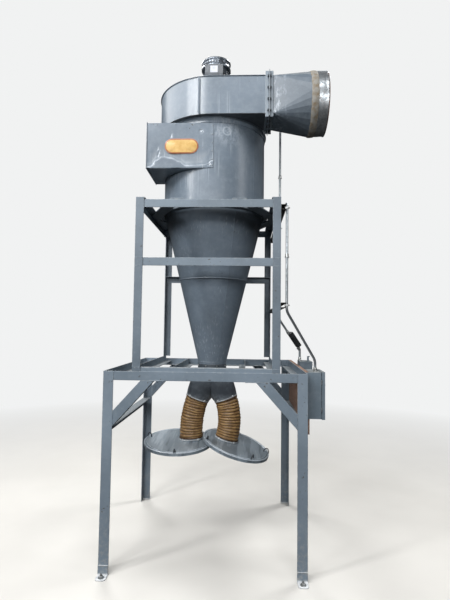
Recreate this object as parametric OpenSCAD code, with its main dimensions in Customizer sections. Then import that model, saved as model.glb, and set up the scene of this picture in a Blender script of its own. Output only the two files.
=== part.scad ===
/* [Stand] */
// Width of the stand over its legs
stand_w = 1524; // [1300:4:1800]
// Depth of the stand over its legs
stand_d = 1462; // [1440:2:1800]
// Height of the stand, floor to the top of its rails
stand_h = 1482; // [1400:2:1700]
// Leg of the steel angle used for the stand's legs and braces
leg_w = 76; // [70:2:90]
// Leg of the steel angle used for the rails on top of the stand
rail_w = 68; // [64:2:80]
// Thickness of all steel angle
steel_t = 6; // [5:0.5:8]
// Length of the foot plate in front of each leg
foot_l = 80; // [70:2:100]
// Height of the foot clip that is welded to each leg
foot_h = 72; // [50:2:90]
// Diameter of the anchor hole in each foot plate
anchor_d = 18; // [12:1:22]
// Distance from the face of a leg to its anchor hole
anchor_out = 44; // [36:1:50]
// Radius of the outer corners of each foot plate
foot_r = 24; // [10:1:30]
// Height where the lower edge of a knee brace meets its leg
brace_z = 1073; // [1000:5:1120]
// Slope of the knee braces
brace_angle = 48; // [42:1:52]
// Height of the top of the side stretchers
stretcher_z = 1070; // [900:5:1150]
// Distance between the two inner beams
beam_gap = 606; // [520:2:640]

/* [Upper frame] */
// Gap between the support ring and the side rails
ring_gap = 3.5; // [3:0.5:10]
// Depth of the upper frame over its posts
frame_d = 1382; // [1300:2:1420]
// Leg of the steel angle used for the upper frame
post_w = 62; // [56:1:70]
// Height of the tops of the posts above the floor
post_top = 2807; // [2700:1:2900]
// Height of the sills above the top of the stand
sill_rise = 30; // [20:1:40]
// Height of the top of the mid rails above the floor
mid_rail_z = 2342; // [2200:2:2450]
// Thickness of the corner plates that carry the barrel
plate_t = 10; // [8:1:12]
// Width of the corner plates
plate_w = 104; // [90:2:120]
// Angle between the corner plates and the side rails
plate_angle = 25; // [20:1:30]

/* [Cyclone] */
// Distance from the stand's centre to the cyclone's axis, to the right
axis_x = 6; // [0:1:12]
// Distance from the stand's centre to the cyclone's axis, towards the front
axis_front = 40; // [30:1:50]
// Outer diameter of the barrel
barrel_d = 900; // [860:2:910]
// Thickness of the sheet steel
sheet_t = 3; // [2:0.5:4]
// Height of the lower edge of the barrel above the floor
barrel_z = 2840; // [2820:2:2860]
// Height of the barrel up to the underside of the fan casing
barrel_h = 705; // [660:1:740]
// Height of the lower edge of the cone above the floor
cone_z = 1500; // [1490:1:1520]
// Outer diameter of the cone at its lower end
cone_d = 244; // [220:2:280]
// Height of the collar under the cone
collar_h = 32; // [24:1:44]
// Width of the flange of the support ring
ring_w = 32; // [26:1:34]
// Height of the support ring
ring_h = 48; // [42:1:60]
// Outer diameter of the inner tube that hangs from the barrel's roof
vortex_d = 440; // [400:5:480]
// Length of the inner tube
vortex_l = 470; // [440:5:520]

/* [Inlet] */
// Height of the inlet duct
inlet_h = 376; // [340:2:400]
// Width of the inlet duct, measured from front to back
inlet_w = 420; // [380:2:440]
// Distance from the axis to the mouth of the inlet duct
inlet_l = 536; // [500:2:600]
// Distance from the top of the inlet duct to the fan casing
inlet_drop = 50; // [44:1:60]

/* [Fan casing] */
// Height of the fan casing
casing_h = 316; // [280:2:340]
// Distance from the axis to the front wall of the casing
casing_front = 510; // [504:1:516]
// Step of the spiral at each quarter turn
casing_step = 17; // [14:0.5:17]
// Width of the outlet, measured from front to back
outlet_w = 322; // [300:2:340]
// Distance from the axis to the outlet flange
outlet_x = 468; // [464:1:480]
// Leg of the angle that frames the outlet
flange_w = 32; // [28:1:38]
// Overhang of the top plate of the casing
top_lip = 8; // [6:1:12]

/* [Outlet transition] */
// Length of the piece that goes from square to round
transition_l = 336; // [300:4:400]
// Outer diameter of the outlet collar
outlet_d = 508; // [480:2:540]
// Length of the outlet collar
outlet_l = 136; // [100:2:160]
// Height of the outlet collar's axis above the middle of the casing
outlet_up = -15; // [-30:1:0]

/* [Fan wheel] */
// Diameter of the fan wheel
wheel_d = 720; // [640:10:760]
// Height of the blades at their tips
blade_h = 130; // [100:5:150]
// Number of blades
blades = 10; // [8:1:12]

/* [Motor] */
// Diameter of the motor body
motor_d = 236; // [220:2:250]
// Height of the motor body
motor_h = 326; // [300:2:360]
// Diameter of the fan cover
cover_d = 270; // [256:2:280]
// Height of the fan cover
cover_h = 84; // [70:2:110]

/* [Dust outlets] */
// Outer diameter of each branch and hose
hose_d = 204; // [190:2:212]
// Slope of the branches, from the vertical
branch_angle = 20; // [16:1:24]
// Distance between the centres of the two branch ends
branch_gap = 252; // [248:2:272]
// Height of the centres of the branch ends above the floor
branch_z = 1188; // [1170:2:1200]
// Length of each hose along its middle
hose_l = 350; // [320:5:380]
// Slope of the lower end of the left hose, from the vertical
hose_end_left = -3; // [-6:1:0]
// Slope of the lower end of the right hose, from the vertical
hose_end_right = -16; // [-18:1:-12]
// Diameter of the drum lids
lid_d = 596; // [560:2:610]
// Tilt of the left lid towards the front
lid_left_pitch = 7; // [4:1:10]
// Tilt of the right lid towards the front
lid_right_pitch = 6; // [4:1:10]
// Tilt of the right lid to its outer side
lid_right_roll = 16.5; // [14:0.5:18]

/* [Electrical] */
// Thickness of the mounting board
board_t = 26; // [20:1:30]
// Height of the mounting board
board_h = 460; // [430:2:500]
// Height of the starter box
starter_h = 346; // [320:2:380]
// Width of the starter box, measured from front to back
starter_w = 280; // [240:2:300]
// Depth of the starter box, out from the board
starter_out = 90; // [80:1:110]
// Thickness of the starter door
door_t = 24; // [18:1:30]
// Height of the disconnect switch box
switch_h = 300; // [260:2:320]
// Width of the disconnect switch box, measured from front to back
switch_w = 190; // [160:2:210]
// Depth of the disconnect switch box, out from the board
switch_out = 110; // [90:1:120]
// Width of the strut channels that carry the conduits
strut_w = 38; // [36:1:44]
// Outer diameter of the conduits
conduit_d = 20; // [18:1:26]
// Distance from the front posts to the conduit that comes down from the motor
motor_run_back = 760; // [700:10:800]
// Length of the conduit fitting
fitting_l = 165; // [120:5:170]
// Width of the conduit fitting
fitting_w = 60; // [44:2:70]

/* [Hidden] */
$fn = 96;

// Clearance between round pieces that sit against each other
fit = 0.3;

// Half the width and depth of the stand, and the lower edge of its rails
half_w = stand_w / 2;
half_d = stand_d / 2;
rail_z = stand_h - rail_w;

// The cyclone's axis, and the upper frame that is centred on it
axis_y = -axis_front;
frame_w = barrel_d + 2 * (ring_w + ring_gap + post_w + steel_t);
frame_x = axis_x - frame_w / 2;
frame_y = -half_d;
frame_back = frame_y + frame_d;
sill_z = stand_h + sill_rise - post_w;
sill_top = stand_h + sill_rise;

// Levels of the rails and plates that carry the barrel
plate_top = post_top - steel_t;
plate_z = plate_top - plate_t;
plate_gap = 6;
side_x = frame_x + 2 * steel_t;

// Levels and radii of the cyclone body
barrel_r = barrel_d / 2;
collar_r = cone_d / 2;
collar_z = cone_z - collar_h;
casing_z = barrel_z + barrel_h;
casing_top_z = casing_z + casing_h;
inlet_top = casing_z - inlet_drop;
inlet_z = inlet_top - inlet_h;
inlet_lap = 18;
mouth_lip = 8;
inlet_throat = 60;

// Gap between the barrel and the beam and plates behind it
rear_gap = 9;

// Angle ring at the top of the barrel, under the fan casing
neck_w = 16;
neck_h = 44;
neck_t = 5;

// Centres and radii of the casing's four arcs
half_step = casing_step / 2;
arc_r = [for (i = [0:3]) casing_front - half_step - (3 - i) * casing_step];
arc_x = [half_step, -half_step, -half_step, half_step];
arc_y = [half_step, half_step, -half_step, -half_step];
arc_turn = [-90, 0, 90, 180];
outlet_y = -casing_front;
outlet_back = outlet_y + outlet_w;

// Hub, blades and shaft of the fan wheel, and the space above it
hub_d = 110;
blade_t = 4;
blade_in = 8;
blade_end = 4;
hub_end = 5;
shaft_d = 48;
wheel_drop = 40;

// The round end of the transition
round_r = outlet_d / 2;
round_y = outlet_y + outlet_w / 2;
round_z = casing_z + casing_h / 2 + outlet_up;
round_x = outlet_x + transition_l;

// Foot, fins and terminal box of the motor, and the sloping edge of its cover
motor_foot = 16;
fins = 24;
fin_h = 8;
fin_t = 4;
fin_z = 40;
terminal_x = -7;
terminal_w = 154;
terminal_h = 118;
terminal_out = 50;
terminal_drop = 24;
cover_edge = 18;

// Dust outlets
hose_r = hose_d / 2;
branch_x = branch_gap / 2;
leg_l = 350;
leg_flare = 12;
sleeve_l = 14;
flare_slope = 0.45;
crotch_z = 1195;
crotch_r = 70;
lid_r = lid_d / 2;

// Middle of each lid from its hose's lower end, in the lid's own plane
lid_left_x = -107;
lid_left_y = -61;
lid_right_x = 92;
lid_right_y = -47;
lid_drop = 12;
lid_collar = 90;

// Electrical gear on the right side of the stand
board_x = half_w;
gear_x = board_x + board_t;
board_gap = 100;
board_y = -half_d + board_gap;
board_l = stand_d - board_gap;
starter_lap = 10;
starter_y = board_y - starter_lap;
starter_top = stand_h + 3;
door_lip = 4;
switch_gap = 330;
switch_y = starter_y + starter_w + switch_gap;
switch_top = stand_h + 40;
lever_t = 14;
lever_w = 20;
lever_h = 46;
strut_x = -frame_x + 2 * axis_x;
strut_t = 3;
strut_lip = 9;
strut_z = [post_top - 837, post_top - 94];

steel = "slategray";
bare = "silver";

// Rolled steel angle along +Z, with its heel at the origin
module angle_bar(l, a, b) {
  linear_extrude(l)
    polygon([[0, 0], [a, 0], [a, steel_t], [steel_t, steel_t], [steel_t, b], [0, b]]);
}

// Angle along +X with its legs along +Y and +Z
module bar_x(l, a, b) {
  rotate([90, 0, 90]) angle_bar(l, a, b);
}

// Angle along +Y with its legs along +X and +Z
module bar_y(l, a, b) {
  translate([0, l, 0]) rotate([90, 0, 0]) angle_bar(l, a, b);
}

// Copy of a front left piece for any corner of the stand
module at_corner(right, rear) {
  mirror([right, 0, 0]) mirror([0, rear, 0]) children();
}

// Copy of a left piece of the upper frame, mirrored in the cyclone's axis
module frame_side(right) {
  translate([axis_x, 0, 0]) mirror([right, 0, 0]) translate([-axis_x, 0, 0]) children();
}

// Pieces given from the cyclone's axis
module on_axis(z) {
  translate([axis_x, axis_y, z]) children();
}

// Plate that the clip at a leg's foot lays on the floor, with rounded corners
module foot_plate() {
  linear_extrude(steel_t) translate([0, -foot_l]) {
    translate([0, foot_r]) square([leg_w, foot_l - foot_r]);
    translate([foot_r, 0]) square([leg_w - 2 * foot_r, foot_l]);
    for (x = [foot_r, leg_w - foot_r])
      translate([x, foot_r]) circle(r = foot_r, $fn = 48);
  }
}

// Corner leg with the clip angle that is bolted to the floor
module stand_leg(right, rear) {
  color(steel) at_corner(right, rear) {
    translate([-half_w, -half_d, 0]) angle_bar(stand_h, leg_w, leg_w);
    translate([-half_w, -half_d, 0]) {
      translate([0, -steel_t, 0]) cube([leg_w, steel_t, foot_h]);
      difference() {
        foot_plate();
        translate([leg_w / 2, -anchor_out, -1]) cylinder(h = steel_t + 2, d = anchor_d);
      }
    }
  }
}

// Rail between the legs, with its flange inside at the bottom
module base_rail_x(rear) {
  color(steel) at_corner(0, rear) translate([-half_w + leg_w, -half_d, rail_z])
    bar_x(stand_w - 2 * leg_w, rail_w, rail_w);
}

module base_rail_y(right) {
  color(steel) at_corner(right, 0) translate([-half_w, -half_d + leg_w, rail_z])
    bar_y(stand_d - 2 * leg_w, rail_w, rail_w);
}

// Angle behind the front rail that closes the foot of the upper frame
module front_sill() {
  color(steel) translate([frame_x + steel_t, -half_d + steel_t, sill_top]) mirror([0, 0, 1])
    bar_x(frame_w - 2 * steel_t, post_w, post_w - steel_t);
}

// Side sills under the posts, and two inner beams on the rails' flanges
module floor_beams() {
  color(steel) {
    for (right = [0, 1])
      frame_side(right) translate([frame_x, -half_d + steel_t, sill_z])
        bar_y(stand_d - 2 * steel_t, post_w, post_w);
    for (right = [0, 1])
      at_corner(right, 0) translate([-beam_gap / 2, -half_d + steel_t, rail_z + steel_t])
        bar_y(stand_d - 2 * steel_t, post_w, post_w);
  }
}

// Brace from a leg up to the rail, cut to fit both
module knee_brace(rear) {
  intersection() {
    translate([-half_w + leg_w, -half_d - 1, 0]) cube([stand_w, leg_w + 2, rail_z]);
    translate([-half_w + leg_w, -half_d, brace_z]) rotate([0, -brace_angle, 0]) translate([-2 * leg_w, 0, 0])
      bar_x(8 * leg_w, leg_w, leg_w);
  }
}

module knee_braces() {
  color(steel)
    for (right = [0, 1], rear = [0, 1])
      at_corner(right, rear) knee_brace(rear);
}

// Stretchers that tie the front legs to the rear legs
module side_stretchers() {
  color(steel)
    for (right = [0, 1])
      at_corner(right, 0) translate([-half_w, -half_d + leg_w, stretcher_z]) mirror([0, 0, 1])
        bar_y(stand_d - 2 * leg_w, leg_w, leg_w);
}

// Front posts stand on the front rail, with their inner leg cut off on the sill
module posts_front() {
  color(steel)
    for (right = [0, 1])
      frame_side(right) translate([frame_x, frame_y, 0]) {
        translate([0, 0, sill_top]) angle_bar(post_top - sill_top, post_w, post_w);
        translate([0, 0, stand_h]) cube([post_w, steel_t, sill_rise]);
      }
}

// Rear posts stand on the side sills
module posts_rear() {
  color(steel)
    for (right = [0, 1])
      frame_side(right) translate([frame_x, frame_back, sill_top]) mirror([0, 1, 0])
        angle_bar(post_top - sill_top, post_w, post_w);
}

module top_rails_side() {
  color(steel)
    for (right = [0, 1])
      frame_side(right) translate([frame_x + steel_t, frame_y + steel_t, post_top]) mirror([0, 0, 1])
        bar_y(frame_d - 2 * steel_t, post_w, post_w);
}

module top_rail_front() {
  color(steel) translate([side_x, frame_y + steel_t, plate_z]) mirror([0, 0, 1])
    bar_x(frame_w - 4 * steel_t, post_w, post_w);
}

// Beam behind the barrel, between the side rails
module carrier_beam() {
  color(steel) translate([side_x, axis_y + barrel_r + rear_gap, plate_z]) mirror([0, 0, 1])
    bar_x(frame_w - 4 * steel_t, post_w, post_w);
}

module mid_rails() {
  color(steel) {
    translate([frame_x + steel_t, frame_y + steel_t, mid_rail_z]) mirror([0, 0, 1])
      bar_x(frame_w - 2 * steel_t, post_w, post_w);
    translate([frame_x + steel_t, frame_back - steel_t, mid_rail_z]) mirror([0, 0, 1]) mirror([0, 1, 0])
      bar_x(frame_w - 2 * steel_t, post_w, post_w);
  }
}

// Flat across each corner, under the side rail and on the cross rails
module corner_plate(reach) {
  intersection() {
    on_axis(plate_z) rotate([0, 0, plate_angle]) translate([-barrel_r - plate_w, -frame_d, 0])
      cube([plate_w - plate_gap, 2 * frame_d, plate_t]);
    translate([side_x, axis_y - reach, plate_z]) cube([frame_w, reach, plate_t]);
  }
}

module corner_plates() {
  color(steel)
    for (right = [0, 1])
      frame_side(right) {
        corner_plate(axis_y - frame_y - steel_t);
        translate([0, axis_y, 0]) mirror([0, 1, 0]) translate([0, -axis_y, 0])
          corner_plate(barrel_r + rear_gap + post_w);
      }
}

// Ring round the barrel's foot, with a flange that rests on the corner plates
module support_ring() {
  color(steel) on_axis(plate_top) rotate_extrude() translate([barrel_r + fit, 0])
    polygon([[0, 0], [ring_w, 0], [ring_w, steel_t], [steel_t, steel_t], [steel_t, ring_h], [0, ring_h]]);
}

// Cone of sheet steel with the collar at its lower end
module cone() {
  color(steel) on_axis(0) rotate_extrude()
    polygon([
      [collar_r - sheet_t, collar_z], [collar_r, collar_z], [collar_r, cone_z],
      [barrel_r, barrel_z], [barrel_r - sheet_t, barrel_z], [collar_r - sheet_t, cone_z]
    ]);
}

// Space inside the inlet duct, up to the barrel's middle
module inlet_space(inset) {
  translate([-2 * barrel_r, -barrel_r + inset, inlet_z + sheet_t])
    cube([2 * barrel_r, inlet_w - sheet_t - inset, inlet_h - 2 * sheet_t]);
}

module barrel() {
  color(steel) on_axis(0) difference() {
    translate([0, 0, barrel_z]) cylinder(h = barrel_h, r = barrel_r);
    translate([0, 0, barrel_z - 1]) cylinder(h = barrel_h + 2, r = barrel_r - sheet_t);
    inlet_space(2 * sheet_t);
  }
  color(steel) on_axis(casing_z) rotate_extrude()
    polygon([
      [barrel_r - sheet_t, -neck_h], [barrel_r + neck_t, -neck_h], [barrel_r + neck_t, -neck_t],
      [barrel_r + neck_w, -neck_t], [barrel_r + neck_w, 0], [barrel_r - sheet_t, 0]
    ]);
}

// Box duct that enters along the barrel's front, with a lap plate on the barrel
module inlet_duct() {
  color(steel) on_axis(0) difference() {
    union() {
      translate([-inlet_l, -barrel_r - sheet_t - fit, inlet_z])
        cube([inlet_l - inlet_throat, inlet_w + sheet_t + fit, inlet_h]);
      translate([-inlet_l, -barrel_r - sheet_t - fit - mouth_lip, inlet_z - mouth_lip])
        cube([sheet_t, inlet_w + sheet_t + fit + 2 * mouth_lip, inlet_h + 2 * mouth_lip]);
      translate([-inlet_l, -barrel_r - sheet_t - fit, inlet_z])
        cube([inlet_l + inlet_lap, sheet_t, inlet_h]);
    }
    inlet_space(-fit);
    translate([0, 0, inlet_z - 1]) cylinder(h = inlet_h + 2, r = barrel_r + fit);
  }
}

module vortex_tube() {
  color(steel) on_axis(casing_z - vortex_l) difference() {
    cylinder(h = vortex_l, d = vortex_d);
    translate([0, 0, -1]) cylinder(h = vortex_l + 2, d = vortex_d - 2 * sheet_t);
  }
}

// Outline of the fan casing: four arcs round the axis, and the outlet at the front
module volute(grow) {
  square(casing_step, center = true);
  for (i = [0:3])
    translate([arc_x[i], arc_y[i]]) rotate(arc_turn[i]) intersection() {
      circle(r = arc_r[i] + grow, $fn = 180);
      square(2 * casing_front);
    }
  translate([0, outlet_y - grow]) square([outlet_x, outlet_w + 2 * grow]);
}

module casing_bottom() {
  color(steel) on_axis(casing_z) linear_extrude(sheet_t) difference() {
    volute(0);
    circle(d = vortex_d - 2 * sheet_t);
  }
}

module fan_casing() {
  color(steel) on_axis(casing_z + sheet_t) linear_extrude(casing_h - 2 * sheet_t) difference() {
    volute(0);
    volute(-sheet_t);
    translate([outlet_x - 1, outlet_y + sheet_t]) square([2, outlet_w - 2 * sheet_t]);
  }
}

// Roof of the casing, with a lip round the spiral and a hole for the motor shaft
module casing_top() {
  color(steel) on_axis(casing_top_z - sheet_t) linear_extrude(sheet_t) difference() {
    union() {
      volute(0);
      intersection() {
        volute(top_lip);
        translate([-2 * casing_front, -2 * casing_front])
          square([2 * casing_front + outlet_x - flange_w - sheet_t, 4 * casing_front]);
      }
    }
    circle(d = shaft_d + 12);
  }
}

// Fan wheel on the motor shaft, seen only through the outlet
module fan_wheel() {
  color(bare) on_axis(casing_top_z - wheel_drop) {
    translate([0, 0, -steel_t]) cylinder(h = steel_t, d = wheel_d);
    translate([0, 0, -steel_t - blade_h - hub_end]) cylinder(h = blade_h + steel_t / 2 + hub_end, d = hub_d);
    for (i = [0:blades - 1])
      rotate([0, 0, i * 360 / blades]) translate([hub_d / 2 - blade_in, -blade_t / 2, -steel_t - blade_h])
        cube([wheel_d / 2 - blade_end - hub_d / 2 + blade_in, blade_t, blade_h + steel_t / 2]);
    translate([0, 0, -steel_t / 2]) cylinder(h = wheel_drop + steel_t / 2, d = shaft_d);
  }
}

// Frame of angle round a rectangular duct, with its face at x = 0
module duct_flange() {
  rotate([90, 0, -90]) linear_extrude(flange_w) difference() {
    translate([-outlet_w - sheet_t, -sheet_t]) square([outlet_w + 2 * sheet_t, casing_h + 2 * sheet_t]);
    translate([-outlet_w, 0]) square([outlet_w, casing_h]);
  }
  rotate([90, 0, -90]) linear_extrude(sheet_t) difference() {
    translate([-outlet_w - flange_w, -flange_w])
      square([outlet_w + 2 * flange_w, casing_h + 2 * flange_w]);
    translate([-outlet_w, 0]) square([outlet_w, casing_h]);
  }
}

module outlet_flanges() {
  color(steel) on_axis(casing_z) translate([outlet_x, outlet_y, 0]) {
    duct_flange();
    mirror([1, 0, 0]) duct_flange();
  }
}

// Loft from the square outlet to the round collar
module outlet_loft(inset, over) {
  hull() {
    on_axis(0) translate([outlet_x + flange_w - over, outlet_y + inset, casing_z + inset])
      cube([0.2, outlet_w - 2 * inset, casing_h - 2 * inset]);
    on_axis(0) translate([round_x - 0.2 + over, round_y, round_z]) rotate([0, 90, 0])
      cylinder(h = 0.2, r = round_r - inset, $fn = 48);
  }
}

module transition() {
  color(steel) {
    difference() {
      outlet_loft(0, 0);
      outlet_loft(sheet_t, 0.1);
    }
    on_axis(casing_z) translate([outlet_x, outlet_y, 0]) rotate([90, 0, 90]) linear_extrude(flange_w)
      difference() {
        square([outlet_w, casing_h]);
        translate([sheet_t, sheet_t]) square([outlet_w - 2 * sheet_t, casing_h - 2 * sheet_t]);
      }
  }
}

module outlet_collar() {
  color(bare) on_axis(0) translate([round_x, round_y, round_z]) rotate([0, 90, 0]) difference() {
    cylinder(h = outlet_l, r = round_r);
    translate([0, 0, -1]) cylinder(h = outlet_l + 2, r = round_r - sheet_t);
  }
}

// Flanged motor that stands on the casing's roof
module motor() {
  color("dimgray") on_axis(casing_top_z) {
    cylinder(h = motor_foot, d = cover_d);
    cylinder(h = motor_h, d = motor_d - 2 * fin_h);
    for (i = [0:fins - 1])
      rotate([0, 0, i * 360 / fins]) translate([0, -fin_t / 2, fin_z])
        cube([motor_d / 2, fin_t, motor_h - 1.5 * fin_z]);
    translate([terminal_x - terminal_w / 2, -motor_d / 2 - terminal_out, motor_h - terminal_h - terminal_drop])
      cube([terminal_w, 2 * terminal_out, terminal_h]);
  }
}

module motor_cover() {
  color(bare) on_axis(casing_top_z + motor_h) rotate_extrude()
    polygon([
      [0, 0], [cover_d / 2, 0], [cover_d / 2, cover_h - cover_edge],
      [cover_d / 2 - 1.5 * cover_edge, cover_h], [0, cover_h]
    ]);
}

// Round leg of the branch, from its open end up past the cone's collar
module branch_leg(inset, over) {
  translate([-branch_x, 0, branch_z]) rotate([0, branch_angle, 0]) translate([0, 0, -over])
    cylinder(h = leg_l + over, r1 = hose_r - inset, r2 = hose_r + leg_flare - inset);
}

// Both legs, the sleeve under the collar and the round crotch between the legs,
// inside a cone that flares down from the collar
module branch_shape(inset, over) {
  flare_h = collar_z - branch_z + hose_r;
  intersection() {
    union() {
      branch_leg(inset, over);
      mirror([1, 0, 0]) branch_leg(inset, over);
      translate([0, 0, collar_z - sleeve_l + inset]) cylinder(h = sleeve_l, r = collar_r - inset);
      translate([0, 0, crotch_z + inset])
        cylinder(h = collar_z - sleeve_l - crotch_z, r1 = crotch_r - inset, r2 = collar_r - inset);
    }
    translate([0, 0, collar_z - flare_h])
      cylinder(h = flare_h + over, r1 = collar_r + flare_slope * flare_h - inset, r2 = collar_r - inset);
  }
}

module branch_pipe() {
  color(steel) on_axis(0) difference() {
    branch_shape(0, 0);
    branch_shape(sheet_t, 1);
  }
}

// Centre of a hose's bend, and its lower end, from the cyclone's axis
function bend_r(end) = hose_l * 180 / PI / (branch_angle - end);
function bend_x(end) = -branch_x + bend_r(end) * cos(branch_angle);
function bend_z(end) = branch_z - bend_r(end) * sin(branch_angle);
function end_x(end) = bend_x(end) - bend_r(end) * cos(end);
function end_z(end) = bend_z(end) + bend_r(end) * sin(end);

module hose(end) {
  on_axis(0) translate([bend_x(end), 0, bend_z(end)]) rotate([90, 0, 0]) rotate([0, 0, 180 - branch_angle])
    rotate_extrude(angle = branch_angle - end) translate([bend_r(end), 0]) difference() {
      circle(r = hose_r, $fn = 48);
      circle(r = hose_r - 4, $fn = 48);
    }
}

module hose_left() {
  color("peru") hose(hose_end_left);
}

module hose_right() {
  color("peru") translate([axis_x, 0, 0]) mirror([1, 0, 0]) translate([-axis_x, 0, 0]) hose(hose_end_right);
}

// Drum lid with a rolled rim, a raised middle and the collar that the hose fits
module lid_disc() {
  rotate_extrude(convexity = 4)
    polygon([
      [0, 0], [lid_r - 26, 0], [lid_r - 22, -8], [lid_r - 10, -8], [lid_r - 10, -22],
      [lid_r, -22], [lid_r, 2], [lid_r - 8, 4], [lid_r - 14, -4], [lid_r - 20, -4], [lid_r - 25, 4], [0, 4]
    ]);
}

// Lid with the round collar that its hose is clamped to
module drum_lid(end, tilt, x, y) {
  difference() {
    rotate([0, end, 0]) translate([0, 0, -lid_collar]) cylinder(h = lid_collar, r = hose_r);
    rotate([0, end, 0]) translate([0, 0, -lid_collar - 1]) cylinder(h = lid_collar + 2, r = hose_r - sheet_t);
    rotate(tilt) translate([-lid_r, -lid_r, -lid_drop - 2 * lid_collar]) cube([lid_d, lid_d, 2 * lid_collar]);
  }
  rotate(tilt) translate([x, y, -lid_drop]) difference() {
    lid_disc();
    translate([-x, -y, -lid_collar / 2]) cylinder(h = lid_collar, r = hose_r - sheet_t - 2);
  }
}

module lid_left() {
  color(steel) on_axis(0) translate([end_x(hose_end_left), 0, end_z(hose_end_left)])
    drum_lid(hose_end_left, [lid_left_pitch, 0, 0], lid_left_x, lid_left_y);
}

module lid_right() {
  color(steel) on_axis(0) translate([-end_x(hose_end_right), 0, end_z(hose_end_right)])
    drum_lid(-hose_end_right, [lid_right_pitch, lid_right_roll, 0], lid_right_x, lid_right_y);
}

module mounting_board() {
  color("saddlebrown") translate([board_x, board_y, stand_h - board_h]) cube([board_t, board_l, board_h]);
}

// Box of the motor starter, with a lap over the front edge of the board
module starter_box() {
  color(steel) translate([gear_x, starter_y, starter_top - starter_h]) {
    cube([starter_out, starter_w, starter_h]);
    translate([-board_t, 0, 0]) cube([board_t, starter_lap, starter_h]);
  }
}

module starter_door() {
  color(steel) translate([gear_x + starter_out, starter_y - door_lip, starter_top - starter_h - door_lip])
    cube([door_t, starter_w + 2 * door_lip, starter_h + 2 * door_lip]);
}

module disconnect_switch() {
  color(steel) translate([gear_x, switch_y, switch_top - switch_h]) {
    cube([switch_out, switch_w, switch_h]);
    translate([switch_out - 3 * lever_t, lever_w, switch_h]) cube([lever_t, lever_w, lever_h]);
  }
}

// Channels with lips along the right side, open to the outside, that carry the conduits
module strut_channels() {
  inner = strut_w - strut_t;
  color(bare)
    for (z = strut_z)
      translate([strut_x, frame_back, z]) rotate([90, 0, 0]) linear_extrude(frame_d)
        polygon([
          [0, 0], [strut_w, 0], [strut_w, strut_lip], [inner, strut_lip], [inner, strut_t], [strut_t, strut_t],
          [strut_t, inner], [inner, inner], [inner, strut_w - strut_lip], [strut_w, strut_w - strut_lip],
          [strut_w, strut_w], [0, strut_w]
        ]);
}

// Pieces laid along the line from p to q, which becomes their +Z
module along(p, q) {
  run = q - p;
  translate(p) rotate([0, acos(run[2] / norm(run)), atan2(run[1], run[0])]) children();
}

// Tube through a row of points, with a round fitting at each bend
module tube_run(points, d) {
  for (i = [0:len(points) - 2])
    along(points[i], points[i + 1]) cylinder(h = norm(points[i + 1] - points[i]), d = d, $fn = 24);
  for (i = [1:len(points) - 2])
    translate(points[i]) sphere(d = d + 6, $fn = 24);
}

// Conduit from the starter up to the front of the channels, and back to the other conduit
run_x = strut_x + strut_w + conduit_d / 2;
run_y = frame_y + motor_run_back;
tee_z = strut_z[1] + strut_w + 1.5 * conduit_d;
starter_in = [gear_x + 56, starter_y + 110, starter_top];
starter_run = [
  [run_x, run_y, tee_z], [run_x, frame_y + 2 * conduit_d, tee_z],
  [run_x, frame_y + 2 * conduit_d, strut_z[0] - 25], starter_in + [0, 0, 85], starter_in
];

// Conduit from the motor down to the disconnect switch, in two lengths on the fitting
motor_out = [axis_x + terminal_x + terminal_w / 2, axis_y - motor_d / 2, casing_top_z + 210];
run_bend = [run_x, run_y, strut_z[0] - 74];
switch_in = [gear_x + 16, switch_y + 150, switch_top];
switch_bend = switch_in + [0, 0, 94];
run_way = (switch_bend - run_bend) / norm(switch_bend - run_bend);
fitting_top = run_bend + 160 * run_way;
fitting_foot = fitting_top + fitting_l * run_way;
motor_run = [motor_out, [run_x, motor_out[1], motor_out[2]], [run_x, run_y, casing_top_z + 90], run_bend, fitting_top];
switch_run = [fitting_foot, switch_bend, switch_in];

module conduits() {
  color(bare) {
    tube_run(starter_run, conduit_d);
    tube_run(motor_run, conduit_d);
    tube_run(switch_run, conduit_d);
  }
}

// Body of the fitting in the sloping part of the run to the switch
module conduit_fitting() {
  color("dimgray") along(fitting_top, fitting_foot)
    translate([-fitting_w / 4 * 3, -fitting_w / 3, 0]) cube([fitting_w, fitting_w / 3 * 2, fitting_l]);
}

stand_leg(0, 0);  // leg_front_left
stand_leg(1, 0);  // leg_front_right
stand_leg(0, 1);  // leg_rear_left
stand_leg(1, 1);  // leg_rear_right
base_rail_x(0);  // base_rail_front
base_rail_x(1);  // base_rail_rear
base_rail_y(0);  // base_rail_left
base_rail_y(1);  // base_rail_right
front_sill();
floor_beams();
knee_braces();
side_stretchers();
posts_front();
posts_rear();
top_rail_front();
top_rails_side();
carrier_beam();
mid_rails();
corner_plates();
support_ring();
cone();
barrel();
inlet_duct();
vortex_tube();
casing_bottom();
fan_casing();
casing_top();
fan_wheel();
outlet_flanges();
transition();
outlet_collar();
motor();
motor_cover();
branch_pipe();
hose_left();
hose_right();
lid_left();
lid_right();
mounting_board();
starter_box();
starter_door();
disconnect_switch();
strut_channels();
conduits();
conduit_fitting();
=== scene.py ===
import math

import bmesh
import bpy
from mathutils import Matrix, Vector, noise


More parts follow.
